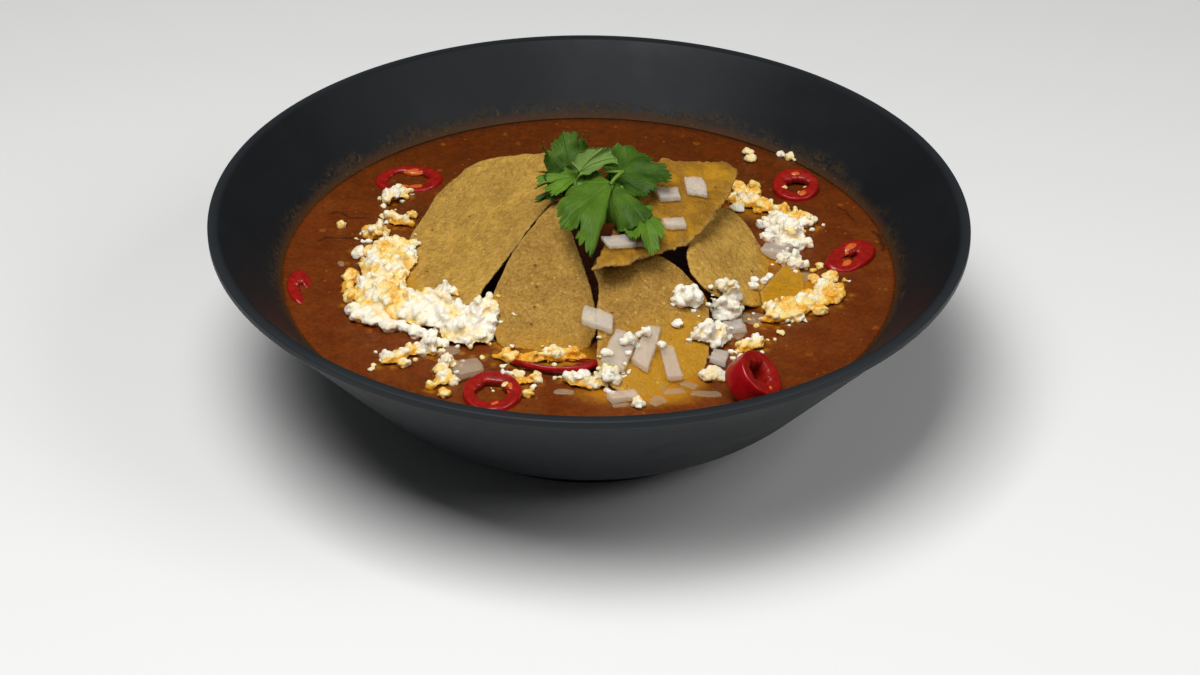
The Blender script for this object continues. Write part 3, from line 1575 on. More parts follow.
@dataclass
class CornChip:
    """A corn chip over its solid's outline and waves, with a thin broken edge and fine bubbles."""

    node: str
    kind: Chip = Chip.DRY
    ragged: float = 0.22
    wet_below: float = 44.0  # height under which it is wet
    wet_reach: float = 5.0
    seed: int = 1
    grid: float = 0.7
    edge_step: float = 0.5
    edge_width: float = 0.6
    thin_edge: float = 0.55  # thickness at the edge, as a share
    corner: float = 1.6  # how sharp its corners stay
    bubble: float = 0.22
    toast: float = 0.0  # how much browner it is
    pulls: tuple[EdgePull, ...] = ()
    meal: tuple[float, float] = (1.9, 0.14)  # size and height of its coarse grain
    swell: tuple[float, float] = (6.0, 0.30)  # and of its soft swells
    blister: tuple[float, float] = (5.0, 0.42)  # distance between its bubbles, and their reach
    curl: tuple[float, float] = (9.0, 0.5)  # size and height of the curl along its edge

    def faces_of(self, solid: Shape, up: bool) -> Array:
        """Picks the faces of a solid's upper or lower side.

        Args:
            solid: The chip's solid.
            up: Whether the upper side is wanted.

        Returns:
            Its triangles.
        """
        a, b, c = (solid.points[solid.faces[:, k]] for k in range(3))
        across = np.cross(b - a, c - a)
        across /= np.maximum(np.linalg.norm(across, axis=1, keepdims=True), 1e-9)
        return solid.faces[across[:, 2] > 0.45] if up else solid.faces[across[:, 2] < -0.45]

    def outline(self, solid: Shape, faces: Array) -> Array:
        """Follows the edge of a side, rounds it and makes it ragged.

        Args:
            solid: The chip's solid.
            faces: The triangles of its upper side.

        Returns:
            Points of the plan, evenly spaced, anticlockwise.
        """
        edges = {(a, b) for tri in faces.tolist() for a, b in zip(tri, tri[1:] + tri[:1])}
        following = {a: b for a, b in edges if (b, a) not in edges}
        loops = []
        while following:
            first, current = following.popitem()
            loop = [first]
            while current in following:
                loop.append(current)
                current = following.pop(current)
            loops.append(loop)
        loop = solid.points[max(loops, key=len)][:, :2]
        ahead = np.roll(loop, -1, axis=0)
        loop = np.concatenate([a + (b - a) * np.linspace(0, 1, max(
            1, round(math.dist(a, b) / self.corner)), endpoint=False)[:, None]
            for a, b in zip(loop, ahead)])
        for _ in range(2):
            after = np.roll(loop, -1, axis=0)
            loop = np.stack([0.75 * loop + 0.25 * after, 0.25 * loop + 0.75 * after], 1).reshape(-1, 2)
        closed = np.concatenate([loop, loop[:1]])
        length = np.concatenate([[0], np.cumsum(np.linalg.norm(np.diff(closed, axis=0), axis=1))])
        count = int(length[-1] / self.edge_step)
        along = np.linspace(0, length[-1], count, endpoint=False)
        even = np.stack([np.interp(along, length, closed[:, k]) for k in range(2)], axis=1)
        way = np.roll(even, -1, axis=0) - np.roll(even, 1, axis=0)
        way /= np.maximum(np.linalg.norm(way, axis=1, keepdims=True), 1e-9)
        out = np.stack([way[:, 1], -way[:, 0]], axis=1)
        places = np.column_stack([even, np.zeros(count)])
        stray = fractal_noise(places, 5.0, self.seed, 3)
        stray += 0.6 * fractal_noise(places, 1.2, self.seed + 4, 2)
        shift = stray * self.ragged - 0.1
        for pull in self.pulls:
            far = np.hypot(even[:, 0] - pull.x, even[:, 1] - pull.y)
            shift += pull.amount * np.exp(-((far / pull.reach) ** 2))
        return even + out * shift[:, None]

    def sheet(self, points: Array) -> tuple[Array, Array]:
        """Fits a smooth sheet through a side's points.

        Args:
            points: The side's points.

        Returns:
            The points that the sheet bends about, and its weights.
        """
        plan = points[:, :2]
        far = np.linalg.norm(plan[:, None] - plan[None], axis=2)
        bend = np.where(far > 0, far**2 * np.log(np.maximum(far, 1e-9)), 0.0)
        flat = np.column_stack([np.ones(len(plan)), plan])
        system = np.block([[bend + 2.0 * np.eye(len(plan)), flat], [flat.T, np.zeros((3, 3))]])
        return plan, np.linalg.solve(system, np.concatenate([points[:, 2], np.zeros(3)]))

    @staticmethod
    def read_sheet(sheet: tuple[Array, Array], plan: Array) -> Array:
        """Reads a sheet's height.

        Args:
            sheet: The points that it bends about, and its weights.
            plan: Points of the plan.

        Returns:
            One height for each point.
        """
        far = np.linalg.norm(plan[:, None] - sheet[0][None], axis=2)
        bend = np.where(far > 0, far**2 * np.log(np.maximum(far, 1e-9)), 0.0)
        return bend @ sheet[1][:-3] + sheet[1][-3] + plan @ sheet[1][-2:]

    def build(self, kit: Kit) -> Item:
        """Makes the chip.

        Args:
            kit: What the dish is made with.

        Returns:
            The piece.
        """
        solid = shape_of(kit.nodes[self.node])
        upper, lower = self.faces_of(solid, True), self.faces_of(solid, False)
        edge = self.outline(solid, upper)
        top = self.sheet(solid.points[np.unique(upper)])
        bottom = self.sheet(solid.points[np.unique(lower)])
        plan, faces, far = filled_outline(edge, self.grid)
        high, low = self.read_sheet(top, plan), self.read_sheet(bottom, plan)
        share = np.sqrt(1 - (1 - np.clip(far / self.edge_width, 0, 1)) ** 2)
        share *= self.thin_edge + (1 - self.thin_edge) * eased(far, 0.0, 3.5)
        middle, half = (high + low) / 2, (high - low) / 2 * share
        places = np.column_stack([plan, middle])
        rough = fractal_noise(places, self.meal[0], self.seed + 11, 1) * self.meal[1]
        rough += fractal_noise(places, self.swell[0], self.seed + 17, 2) * self.swell[1]
        spacing, reach = self.blister
        bubbles = np.clip(reach - cell_distance(places, spacing, self.seed + 23), 0, 1) / reach
        curl = self.curl[1] * fractal_noise(places, self.curl[0], self.seed + 29, 2)
        curl *= eased(far, 4.0, 0.0)
        inner = eased(far, 0.0, 1.0)
        raised = rough + self.bubble * bubbles
        upper_points = np.column_stack([plan, middle + half + curl + inner * raised])
        lower_points = np.column_stack([plan, middle - half + curl + inner * rough])
        rim = far <= 1e-6
        lower_index = np.where(rim, np.arange(len(plan)), len(plan) + np.cumsum(~rim) - 1)
        points = np.concatenate([upper_points, lower_points[~rim]])
        both = np.concatenate([faces, lower_index[faces][:, ::-1]])
        masks = self.masks(points, np.concatenate([far, far[~rim]]))
        piece = Shape(points, both, masks).piece(self.node.replace("chip", "corn_chip"),
                                                 [kit.finishes.chips[self.kind]])
        return dressed(piece, "chip", self.node)

    def masks(self, points: Array, far: Array) -> dict[str, Array]:
        """Paints where the chip is wet and where its edge is.

        Args:
            points: The chip's points.
            far: Their distance from the edge.

        Returns:
            The masks.
        """
        wander = 1.6 * fractal_noise(points, 7.0, self.seed + 5, 3)
        wet = eased(points[:, 2] + wander, self.wet_below + self.wet_reach, self.wet_below)
        return {"wet": wet, "edge": np.exp(-far / 0.45), "toast": np.full(len(far), self.toast)}


def filled_outline(edge: Array, grid: float) -> tuple[Array, Array, Array]:
    """Fills an outline of the plan with even triangles.

    Args:
        edge: The outline, anticlockwise.
        grid: Distance between the points inside it.

    Returns:
        The points, the triangles, and each point's distance from the outline.
    """
    low, high = edge.min(0) - grid, edge.max(0) + grid
    rows = np.arange(low[1], high[1], grid * math.sqrt(3) / 2)
    lines = [np.arange(low[0] + (k % 2) * grid / 2, high[0], grid) for k in range(len(rows))]
    plan = np.concatenate([np.column_stack([line, np.full(len(line), y)])
                           for line, y in zip(lines, rows)])
    far = outline_distance(plan, edge)
    plan, far = plan[far > 0.62 * grid], far[far > 0.62 * grid]
    way = np.roll(edge, -1, axis=0) - np.roll(edge, 1, axis=0)
    way /= np.maximum(np.linalg.norm(way, axis=1, keepdims=True), 1e-9)
    inset = edge + np.stack([-way[:, 1], way[:, 0]], axis=1) * 0.25
    inset_far = outline_distance(inset, edge)
    keep = inset_far > 0.15
    plan = np.concatenate([edge, inset[keep], plan])
    far = np.concatenate([np.zeros(len(edge)), inset_far[keep], far])
    border = [(k, (k + 1) % len(edge)) for k in range(len(edge))]
    made = delaunay_2d_cdt([Vector(p) for p in plan], border, [], 1, 1e-4)
    source = np.array([origin[0] if origin else -1 for origin in made[3]])
    places = np.array([tuple(v) for v in made[0]])
    distance = np.where(source >= 0, far[np.maximum(source, 0)], 0.0)
    return places, np.array([f for f in made[2] if len(f) == 3]), distance


def outline_distance(plan: Array, edge: Array) -> Array:
    """Gives each point's distance inside an outline.

    Args:
        plan: Points of the plan.
        edge: The outline.

    Returns:
        One distance for each point, below 0 outside.
    """
    nearest = np.full(len(plan), 1e9)
    crossings = np.zeros(len(plan), bool)
    for a, b in zip(edge, np.roll(edge, -1, axis=0)):
        way = b - a
        share = np.clip(((plan - a) @ way) / max(way @ way, 1e-12), 0, 1)
        nearest = np.minimum(nearest, np.linalg.norm(plan - (a + share[:, None] * way), axis=1))
        spans = (a[1] > plan[:, 1]) != (b[1] > plan[:, 1])
        with np.errstate(divide="ignore", invalid="ignore"):
            reach = a[0] + (b[0] - a[0]) * (plan[:, 1] - a[1]) / (b[1] - a[1])
        crossings ^= spans & (plan[:, 0] < reach)
    return np.where(crossings, nearest, -nearest)


# Cheese


@dataclass(frozen=True)
class CrumbSizes:
    """Sizes for one layer of crumbs over a heap."""

    per_square: float  # crumbs on a square millimetre
    least: float
    most: float


@dataclass
class CrumbCover:
    """A Geometry Nodes tree that covers a core with crumbs."""

    group: bpy.types.NodeTree | None = None
    layers: tuple[CrumbSizes, ...] = (CrumbSizes(0.09, 0.9, 1.9), CrumbSizes(0.30, 0.35, 0.85))

    def tree(self, material: Material) -> bpy.types.NodeTree:
        """Builds the tree.

        Args:
            material: The crumbs' material.

        Returns:
            The tree, with the inputs Seed and, for each layer, Density, Least and Most.
        """
        group = bpy.data.node_groups.new("crumb_cover", "GeometryNodeTree")
        group.interface.new_socket("Geometry", in_out="INPUT", socket_type="NodeSocketGeometry")
        for name, value in self.values(0).items():
            kind = "NodeSocketInt" if name == "Seed" else "NodeSocketFloat"
            group.interface.new_socket(name, in_out="INPUT", socket_type=kind).default_value = value
        group.interface.new_socket("Geometry", in_out="OUTPUT", socket_type="NodeSocketGeometry")
        tree = Tree(group)
        start, end = tree.add("NodeGroupInput"), tree.add("NodeGroupOutput")
        core = start.outputs["Geometry"]
        facing = tree.add("ShaderNodeSeparateXYZ", {0: tree.add("GeometryNodeInputNormal").outputs[0]})
        upward = tree.math("GREATER_THAN", facing.outputs["Z"], -0.25)
        join = tree.add("GeometryNodeJoinGeometry")
        tree.tree.links.new(core, join.inputs[0])
        for number in range(len(self.layers)):
            seed = tree.plus(start.outputs["Seed"], 100.0 * number)
            spots = tree.add("GeometryNodeDistributePointsOnFaces", {
                "Mesh": core, "Selection": upward, "Density": start.outputs[f"Density_{number}"],
                "Seed": seed}, distribute_method="RANDOM")
            bead = tree.add("GeometryNodeMeshIcoSphere", {"Radius": 1.0, "Subdivisions": 2})
            size = tree.add("FunctionNodeRandomValue", {
                2: start.outputs[f"Least_{number}"], 3: start.outputs[f"Most_{number}"],
                "Seed": seed}, data_type="FLOAT")
            turn = tree.add("FunctionNodeRandomValue", {0: (0, 0, 0), 1: (6.28, 6.28, 6.28),
                                                        "Seed": seed}, data_type="FLOAT_VECTOR")
            stretch = tree.add("FunctionNodeRandomValue", {0: (0.75, 0.75, 0.7), 1: (1.2, 1.1, 1.0),
                                                           "Seed": seed}, data_type="FLOAT_VECTOR")
            scale = tree.add("ShaderNodeVectorMath", {0: stretch.outputs[0]}, operation="SCALE")
            tree.tree.links.new(size.outputs[1], scale.inputs["Scale"])
            crumbs = tree.add("GeometryNodeInstanceOnPoints", {
                "Points": spots.outputs["Points"], "Instance": bead.outputs["Mesh"],
                "Rotation": turn.outputs[0], "Scale": scale.outputs[0]})
            tree.tree.links.new(crumbs.outputs[0], join.inputs[0])
        real = tree.add("GeometryNodeRealizeInstances", {0: join.outputs[0]})
        dressed = tree.add("GeometryNodeSetMaterial", {"Geometry": real.outputs[0],
                                                       "Material": material})
        tree.tree.links.new(dressed.outputs[0], end.inputs[0])
        return group

    def values(self, seed: int) -> dict[str, float]:
        """Gives the tree's inputs.

        Args:
            seed: Which set of crumbs.

        Returns:
            The value of each input by its name.
        """
        values: dict[str, float] = {"Seed": seed}
        for number, sizes in enumerate(self.layers):
            values[f"Density_{number}"] = sizes.per_square / MM**2
            values[f"Least_{number}"] = sizes.least * MM
            values[f"Most_{number}"] = sizes.most * MM
        return values

    def put_on(self, core: Item, seed: int) -> None:
        """Adds the tree to a core as a modifier.

        Args:
            core: What the crumbs cover.
            seed: Which set of crumbs.
        """
        cover = core.modifiers.new("crumbs", "NODES")
        cover.node_group = self.group
        wanted = self.values(seed)
        for item in self.group.interface.items_tree:
            if item.in_out == "INPUT" and item.name in wanted:
                cover[item.identifier] = wanted[item.name]


def curds(places: Array, size: float, seed: int) -> Array:
    """Gives round lumps packed side by side, 1 on top of a lump and 0 in the creases."""
    return 1 - np.clip(cell_distance(places, size, seed) / 0.75, 0, 1) ** 2


@dataclass
class CheeseHeap:
    """A heap of crumbled cheese over its solid."""

    node: str
    stain: float  # how much orange oil it has taken up
    on_chip: bool = False
    clean_side: tuple[float, float] | None = None  # from where to where it turns clean, across
    seed: int = 1
    voxel: float = 0.36
    core: tuple[float, float, float] = (0.88, 0.88, 0.84)  # its core's size, as a share
    curd_sizes: tuple[float, float, float] = (4.2, 2.1, 1.0)
    curd_heights: tuple[float, float, float] = (0.75, 0.50, 0.20)

    def build(self, kit: Kit) -> Item:
        """Makes the heap.

        Args:
            kit: What the dish is made with.

        Returns:
            The piece.
        """
        solid = shape_of(kit.nodes[self.node])
        middle = solid.points.mean(0)
        base = solid.points[:, 2].min()
        core = Shape(middle + (solid.points - middle) * np.array(self.core), solid.faces)
        scratch = core.piece(f"{self.node}_core", [kit.finishes.cheese])
        kit.crumbs.put_on(scratch, self.seed)
        shape = melted(scratch, self.voxel)
        shape.points += 0.35 * (neighbour_mean(shape, shape.points) - shape.points)
        normals = point_normals(shape)
        places = shape.points
        lumps, coarse, fine = (curds(places, size, self.seed + step)
                               for size, step in zip(self.curd_sizes, (5, 0, 7)))
        high, middling, low = self.curd_heights
        relief = high * (lumps - 0.65) + middling * (coarse - 0.6) + low * (fine - 0.6)
        relief += 0.10 * fractal_noise(places, 1.0, self.seed + 3, 2)
        shape.points = places + normals * relief[:, None]
        pit = 1.3 - 0.5 * lumps - 0.5 * coarse - 0.3 * fine
        low = eased(shape.points[:, 2], base + 2.8, base + 0.2)
        patches = eased(fractal_noise(shape.points, 7.0, self.seed + 8, 2), -0.5, 0.7)
        stain = self.stain * (0.40 * patches + 0.85 * low + 0.18)
        if self.on_chip:
            stain = self.stain * (0.4 + 0.5 * low)
        if self.clean_side is not None:
            stain *= 1 - 0.65 * eased(shape.points[:, 0], *self.clean_side)
        shape.masks = {"stain": stain, "pit": pit}
        piece = shape.piece(self.node.replace("cheese", "crumbled_cheese"), [kit.finishes.cheese])
        return dressed(piece, "cheese", self.node)


@dataclass(frozen=True)
class Crumb(Pixel):
    """A crumb that lies apart, where a pixel shows it."""

    radius: float
    stain: float


@dataclass
class LooseCrumbs:
    """All the crumbs of cheese that lie apart from the heaps, as one piece."""

    crumbs: tuple[Crumb, ...] = (
        Crumb(341, 227, 1.5, 0.5), Crumb(748, 154, 1.6, 0.5), Crumb(750, 161, 1.7, 0.5),
        Crumb(781, 156, 1.3, 0.6), Crumb(789, 159, 1.7, 0.6), Crumb(797, 161, 1.1, 0.5),
        Crumb(752, 288, 1.5, 0.0), Crumb(754, 281, 1.2, 0.0), Crumb(763, 282, 1.2, 0.0),
        Crumb(768, 278, 1.1, 0.0), Crumb(708, 379, 2.2, 0.35), Crumb(715, 377, 2.4, 0.35),
        Crumb(721, 380, 1.4, 0.4), Crumb(637, 399, 1.4, 0.4), Crumb(638, 406, 1.6, 0.4),
        Crumb(677, 325, 1.5, 0.0), Crumb(645, 333, 1.5, 0.0), Crumb(639, 336, 1.3, 0.0),
        Crumb(629, 341, 1.8, 0.0), Crumb(623, 343, 1.2, 0.0), Crumb(636, 347, 1.1, 0.0),
        Crumb(662, 346, 1.3, 0.0), Crumb(606, 354, 1.4, 0.0), Crumb(628, 354, 0.9, 0.1),
        Crumb(781, 335, 1.1, 0.5), Crumb(820, 268, 1.2, 0.7), Crumb(813, 272, 1.0, 0.8),
        Crumb(454, 293, 1.4, 0.0), Crumb(437, 296, 1.5, 0.0), Crumb(434, 302, 1.6, 0.0),
        Crumb(461, 301, 1.4, 0.0), Crumb(528, 396, 1.5, 0.9), Crumb(812, 231, 0.9, 0.3),
        Crumb(735, 188, 2.0, 0.8), Crumb(744, 194, 2.1, 0.6), Crumb(753, 188, 1.7, 0.8),
        Crumb(731, 200, 1.8, 0.5), Crumb(738, 210, 1.9, 0.4), Crumb(749, 205, 1.7, 0.9),
        Crumb(757, 213, 1.4, 1.0), Crumb(768, 209, 1.6, 0.9), Crumb(763, 228, 2.2, 0.1),
        Crumb(768, 240, 2.0, 0.1), Crumb(790, 232, 1.8, 0.2), Crumb(806, 246, 1.8, 0.2),
        Crumb(815, 282, 1.8, 0.8), Crumb(830, 280, 1.9, 0.7), Crumb(838, 290, 1.6, 0.8),
        Crumb(739, 198, 2.3, 0.7), Crumb(754, 197, 2.1, 0.8), Crumb(762, 206, 2.0, 0.8),
        Crumb(776, 220, 2.3, 0.4), Crumb(784, 212, 2.0, 0.7), Crumb(775, 236, 2.5, 0.1),
        Crumb(803, 226, 2.4, 0.2), Crumb(811, 223, 1.9, 0.7), Crumb(798, 248, 2.2, 0.2),
        Crumb(784, 263, 2.4, 0.2), Crumb(794, 266, 2.1, 0.3), Crumb(770, 313, 2.4, 0.5),
        Crumb(781, 320, 2.2, 0.6), Crumb(795, 319, 2.5, 0.5), Crumb(808, 309, 2.4, 0.6),
        Crumb(821, 314, 2.0, 0.8), Crumb(833, 301, 2.3, 0.9), Crumb(826, 290, 2.2, 0.7),
        Crumb(803, 294, 2.0, 0.8), Crumb(369, 234, 2.0, 0.6), Crumb(384, 234, 1.8, 0.7),
        Crumb(395, 243, 1.7, 0.8), Crumb(393, 221, 1.9, 0.8), Crumb(413, 217, 1.5, 0.9),
        Crumb(360, 256, 2.1, 0.4), Crumb(408, 260, 1.8, 0.1), Crumb(352, 281, 2.4, 0.9),
        Crumb(348, 291, 2.3, 1.0), Crumb(352, 300, 2.4, 0.9), Crumb(354, 313, 2.5, 0.5),
        Crumb(359, 320, 2.2, 0.4), Crumb(366, 315, 2.4, 0.5), Crumb(372, 324, 2.4, 0.4),
        Crumb(384, 322, 2.3, 0.3), Crumb(390, 330, 2.3, 0.3), Crumb(403, 330, 2.3, 0.2),
        Crumb(416, 336, 2.4, 0.2), Crumb(430, 341, 2.3, 0.1), Crumb(443, 346, 1.9, 0.3),
        Crumb(388, 359, 1.9, 0.4), Crumb(403, 366, 1.8, 0.5), Crumb(421, 355, 1.7, 0.4),
        Crumb(441, 373, 1.9, 0.6), Crumb(456, 379, 1.8, 0.7), Crumb(444, 396, 1.7, 0.8),
        Crumb(518, 378, 1.8, 0.6), Crumb(537, 381, 1.9, 0.7), Crumb(583, 379, 2.2, 0.3),
        Crumb(595, 387, 2.0, 0.4), Crumb(609, 378, 2.1, 0.3),
    )
    voxel: float = 0.34
    fringe_step: float = 3.6  # distance between the crumbs that fell off a heap
    fringe_reach: float = 1.2
    fringe_sizes: tuple[float, float] = (0.4, 0.9)
    rim: float = 87.0
    seed: int = 77

    def fallen(self, heap: CheeseHeap, solid: Shape,
               ground: Ground) -> list[tuple[Array, float, float]]:
        """Scatters crumbs round the foot of a heap.

        Args:
            heap: The heap.
            solid: Its solid.
            ground: What they lie on.

        Returns:
            The middle, radius and stain of each.
        """
        draw = np.random.default_rng(self.seed + heap.seed)
        plan = solid.points[:, :2]
        middle = plan.mean(0)
        size = np.linalg.norm(plan - middle, axis=1).max()
        found = []
        for _ in range(int(2 * math.pi * size / self.fringe_step)):
            spot = plan[draw.integers(len(plan))]
            away = (spot - middle) / max(float(np.linalg.norm(spot - middle)), 0.1)
            aside = draw.normal(0, 0.8, 2)
            spot = spot + away * draw.exponential(self.fringe_reach) + aside
            radius = draw.uniform(*self.fringe_sizes)
            if np.hypot(*spot) < self.rim:
                height = ground.height(*spot) + 0.4 * radius
                found.append((np.array([*spot, height]), radius, heap.stain * draw.uniform(0.1, 0.9)))
        return found

    def build(self, kit: Kit) -> Item:
        """Makes the crumbs.

        Args:
            kit: What the dish is made with.

        Returns:
            The piece.
        """
        bead = bead_shape(2)
        grains = []
        balls = []
        for crumb in self.crumbs:
            place, normal = kit.ground.under(kit.studio, crumb)
            grains.append((np.array(place) + np.array(normal) * crumb.radius * 0.55,
                           crumb.radius, crumb.stain))
        for heap in CHEESE:
            grains += self.fallen(heap, shape_of(kit.nodes[heap.node]), kit.ground)
        for number, (centre, radius, _) in enumerate(grains):
            bumps = 1 + 0.40 * fractal_noise(bead.points * 2 + number * 7, 1.3, number, 2)
            points = centre + bead.points * bumps[:, None] * radius * np.array([1.1, 0.95, 0.8])
            balls.append(Shape(points, bead.faces))
        centres = [grain[0] for grain in grains]
        stains = [grain[2] for grain in grains]
        scratch = gathered(balls).piece("loose_crumb_cores", [kit.finishes.cheese])
        shape = melted(scratch, self.voxel)
        normals = point_normals(shape)
        relief = 0.14 * fractal_noise(shape.points, 1.1, 40, 2)
        relief += 0.30 * (curds(shape.points, 1.5, 41) - 0.5)
        shape.points = shape.points + normals * relief[:, None]
        tree = KDTree(len(centres))
        for number, centre in enumerate(centres):
            tree.insert(Vector(centre), number)
        tree.balance()
        stain = np.array([stains[tree.find(Vector(p))[1]] for p in shape.points])
        shape.masks = {"stain": stain, "pit": np.zeros(len(stain))}
        piece = shape.piece("cheese_loose_crumbs", [kit.finishes.cheese])
        return dressed(piece, "cheese")


# Chilli slices


@dataclass
class ChilliSlice:
    """A slice of chilli: skin outside, paler flesh on its cut faces, pith and seeds within."""

    node: str
    at: tuple[float, float, float]
    radius: float
    height: float
    oval: float = 1.0
    heading: float = 0.0
    tilt: float = 0.0
    wall: float = 2.0
    swell: float = 1.6  # how much thicker the wet flesh is
    sink: float = 0.0  # how far it has settled into the soup
    dip: tuple[float, float] = (0.0, 0.0)  # the side that dips deeper, and how much
    seeds: tuple[tuple[float, float], ...] = ()
    pith: tuple[float, ...] = ()
    seed: int = 1
    turns: int = 96

    def matrix(self) -> Matrix:
        """Gives the slice's place and lean.

        Returns:
            The change from its own axis to the dish.
        """
        turn = Matrix.Rotation(math.radians(self.heading), 4, "Z")
        lean = Matrix.Rotation(math.radians(self.tilt), 4, "X")
        return Matrix.Translation(self.at) @ turn @ lean @ Matrix.Diagonal((self.oval, 1, 1, 1))

    def profile(self) -> list[tuple[float, float, int]]:
        """Gives the section of the ring.

        Returns:
            Radius, height and finish of each point, round the section.
        """
        half, edge = self.height / 2, min(0.5, self.height * 0.2)
        outer, inner = self.radius, self.radius - self.wall - self.swell
        return [
            (outer - edge * 0.3, -half + edge * 0.3, 0), (outer + 0.05, -half + edge, 0),
            (outer + 0.16, -half * 0.4, 0), (outer + 0.18, half * 0.1, 0),
            (outer + 0.12, half * 0.5, 0), (outer, half - edge, 0),
            (outer - edge * 0.3, half - edge * 0.2, 1), (outer - edge, half, 1),
            (outer - self.wall * 0.6, half - 0.1, 1), (inner + 0.6, half - 0.2, 1),
            (inner, half - 0.5, 1), (inner - 0.12, half * 0.2, 1), (inner - 0.12, -half * 0.3, 1),
            (inner, -half + 0.5, 1), (inner + 0.5, -half, 1), (outer - edge, -half, 1),
        ]

    def ring(self) -> Shape:
        """Makes the ring of flesh, a little uneven.

        Returns:
            The ring about its own axis.
        """
        profile = self.profile()
        count = len(profile)
        turn = np.linspace(0, 2 * math.pi, self.turns, endpoint=False)
        around = np.column_stack([np.cos(turn) * 6, np.sin(turn) * 6, np.full(self.turns, 3.0)])
        bulge = 0.28 * fractal_noise(around, 5.0, self.seed, 2)
        inward = 0.75 * fractal_noise(around, 3.0, self.seed + 9, 2)
        for middle in self.pith:
            gap = np.abs((np.degrees(turn) - middle + 180) % 360 - 180)
            inward -= 0.9 * np.exp(-((gap / 14.0) ** 2))
        uneven = 0.10 * fractal_noise(around, 3.0, self.seed + 5, 2)
        points = []
        for radius, height, _ in profile:
            inside = np.clip((self.radius - radius) / self.wall, 0, 1)
            reach = radius + bulge + inward * inside
            points.append(np.column_stack([reach * np.cos(turn), reach * np.sin(turn), height + uneven]))
        step = np.arange(self.turns)
        after = (step + 1) % self.turns
        faces, kinds = [], []
        for row in range(count):
            low, high = row * self.turns, ((row + 1) % count) * self.turns
            faces.append(quads(low + step, low + after, high + after, high + step))
            kinds += [np.full(2 * self.turns, profile[row][2])]
        return Shape(np.concatenate(points), np.concatenate(faces), {}, np.concatenate(kinds))

    def pips(self) -> Iterable[Shape]:
        """Makes the seeds and the lumps of pith.

        Yields:
            Each one about the slice's axis.
        """
        bead = bead_shape(2)
        for angle, share in self.seeds:
            yield self._blob(bead, angle, share * self.radius, (1.55, 1.05, 0.55), 3, 0.25)
        for angle in self.pith:
            reach = self.radius - self.wall - 0.4
            yield self._blob(bead, angle, reach, (1.7, 2.3, self.height * 0.46), 2, 0.05)

    def _blob(self, bead: Shape, angle: float, reach: float, size: tuple[float, float, float],
              finish: int, lift: float) -> Shape:
        """Places one uneven blob inside the ring.

        Args:
            bead: A ball of radius 1.
            angle: Its direction from the axis, in degrees.
            reach: Its distance from the axis.
            size: Its half sizes, outward, along the ring and up.
            finish: Which of the slice's materials it has.
            lift: Its height, as a share of the slice's.

        Returns:
            The blob.
        """
        turn = math.radians(angle)
        out = np.array([math.cos(turn), math.sin(turn), 0])
        along = np.array([-math.sin(turn), math.cos(turn), 0])
        bumps = 1 + 0.16 * fractal_noise(bead.points * 2 + angle, 1.5, self.seed, 2)
        local = bead.points * bumps[:, None] * np.array(size)
        points = (local[:, :1] * out + local[:, 1:2] * along + local[:, 2:] * np.array([0, 0, 1.0])
                  + out * reach + np.array([0, 0, lift * self.height]))
        return Shape(points, bead.faces, {}, np.full(len(bead.faces), finish))

    def build(self, kit: Kit) -> Item:
        """Makes the slice.

        Args:
            kit: What the dish is made with.

        Returns:
            The piece.
        """
        shape = self.ring()
        for blob in self.pips():
            shape = shape.joined(blob)
        matrix = np.array(self.matrix())
        shape.points = shape.points @ matrix[:3, :3].T + matrix[:3, 3]
        turn = math.radians(self.dip[0])
        side = (shape.points[:, :2] - matrix[:2, 3]) @ [math.cos(turn), math.sin(turn)]
        shape.points[:, 2] -= self.sink + self.dip[1] * eased(side / self.radius, -0.5, 1.0)
        piece = shape.piece(self.node.replace("chilli", "chilli_slice"), kit.finishes.chilli)
        return dressed(piece, "chilli", self.node)


# Onion


@dataclass
class OnionPiece:
    """A cut piece of onion over its solid, with soft edges and a slight warp."""

    node: str
    soaked: float = 0.0
    seed: int = 1
    voxel: float = 0.26

    def build(self, kit: Kit) -> Item:
        """Makes the piece.

        Args:
            kit: What the dish is made with.

        Returns:
            The piece.
        """
        solid = shape_of(kit.nodes[self.node])
        scratch = solid.piece(f"{self.node}_core", [kit.finishes.onion])
        shape = melted(scratch, self.voxel)
        for _ in range(3):
            shape.points += 0.5 * (neighbour_mean(shape, shape.points) - shape.points)
        warp = 0.30 * fractal_noise(shape.points, 3.4, self.seed, 2)
        shape.points = shape.points + point_normals(shape) * warp[:, None]
        shape.masks = {"soaked": np.full(len(shape.points), self.soaked)}
        piece = shape.piece(self.node.replace("onion", "chopped_onion"), [kit.finishes.onion])
        return dressed(piece, "onion", self.node)


@dataclass(frozen=True)
class SunkBit(Pixel):
    """A bit of onion that lies just in the soup's surface, at a pixel."""

    length: float  # half its size along
    width: float  # half its size across
    turn: float


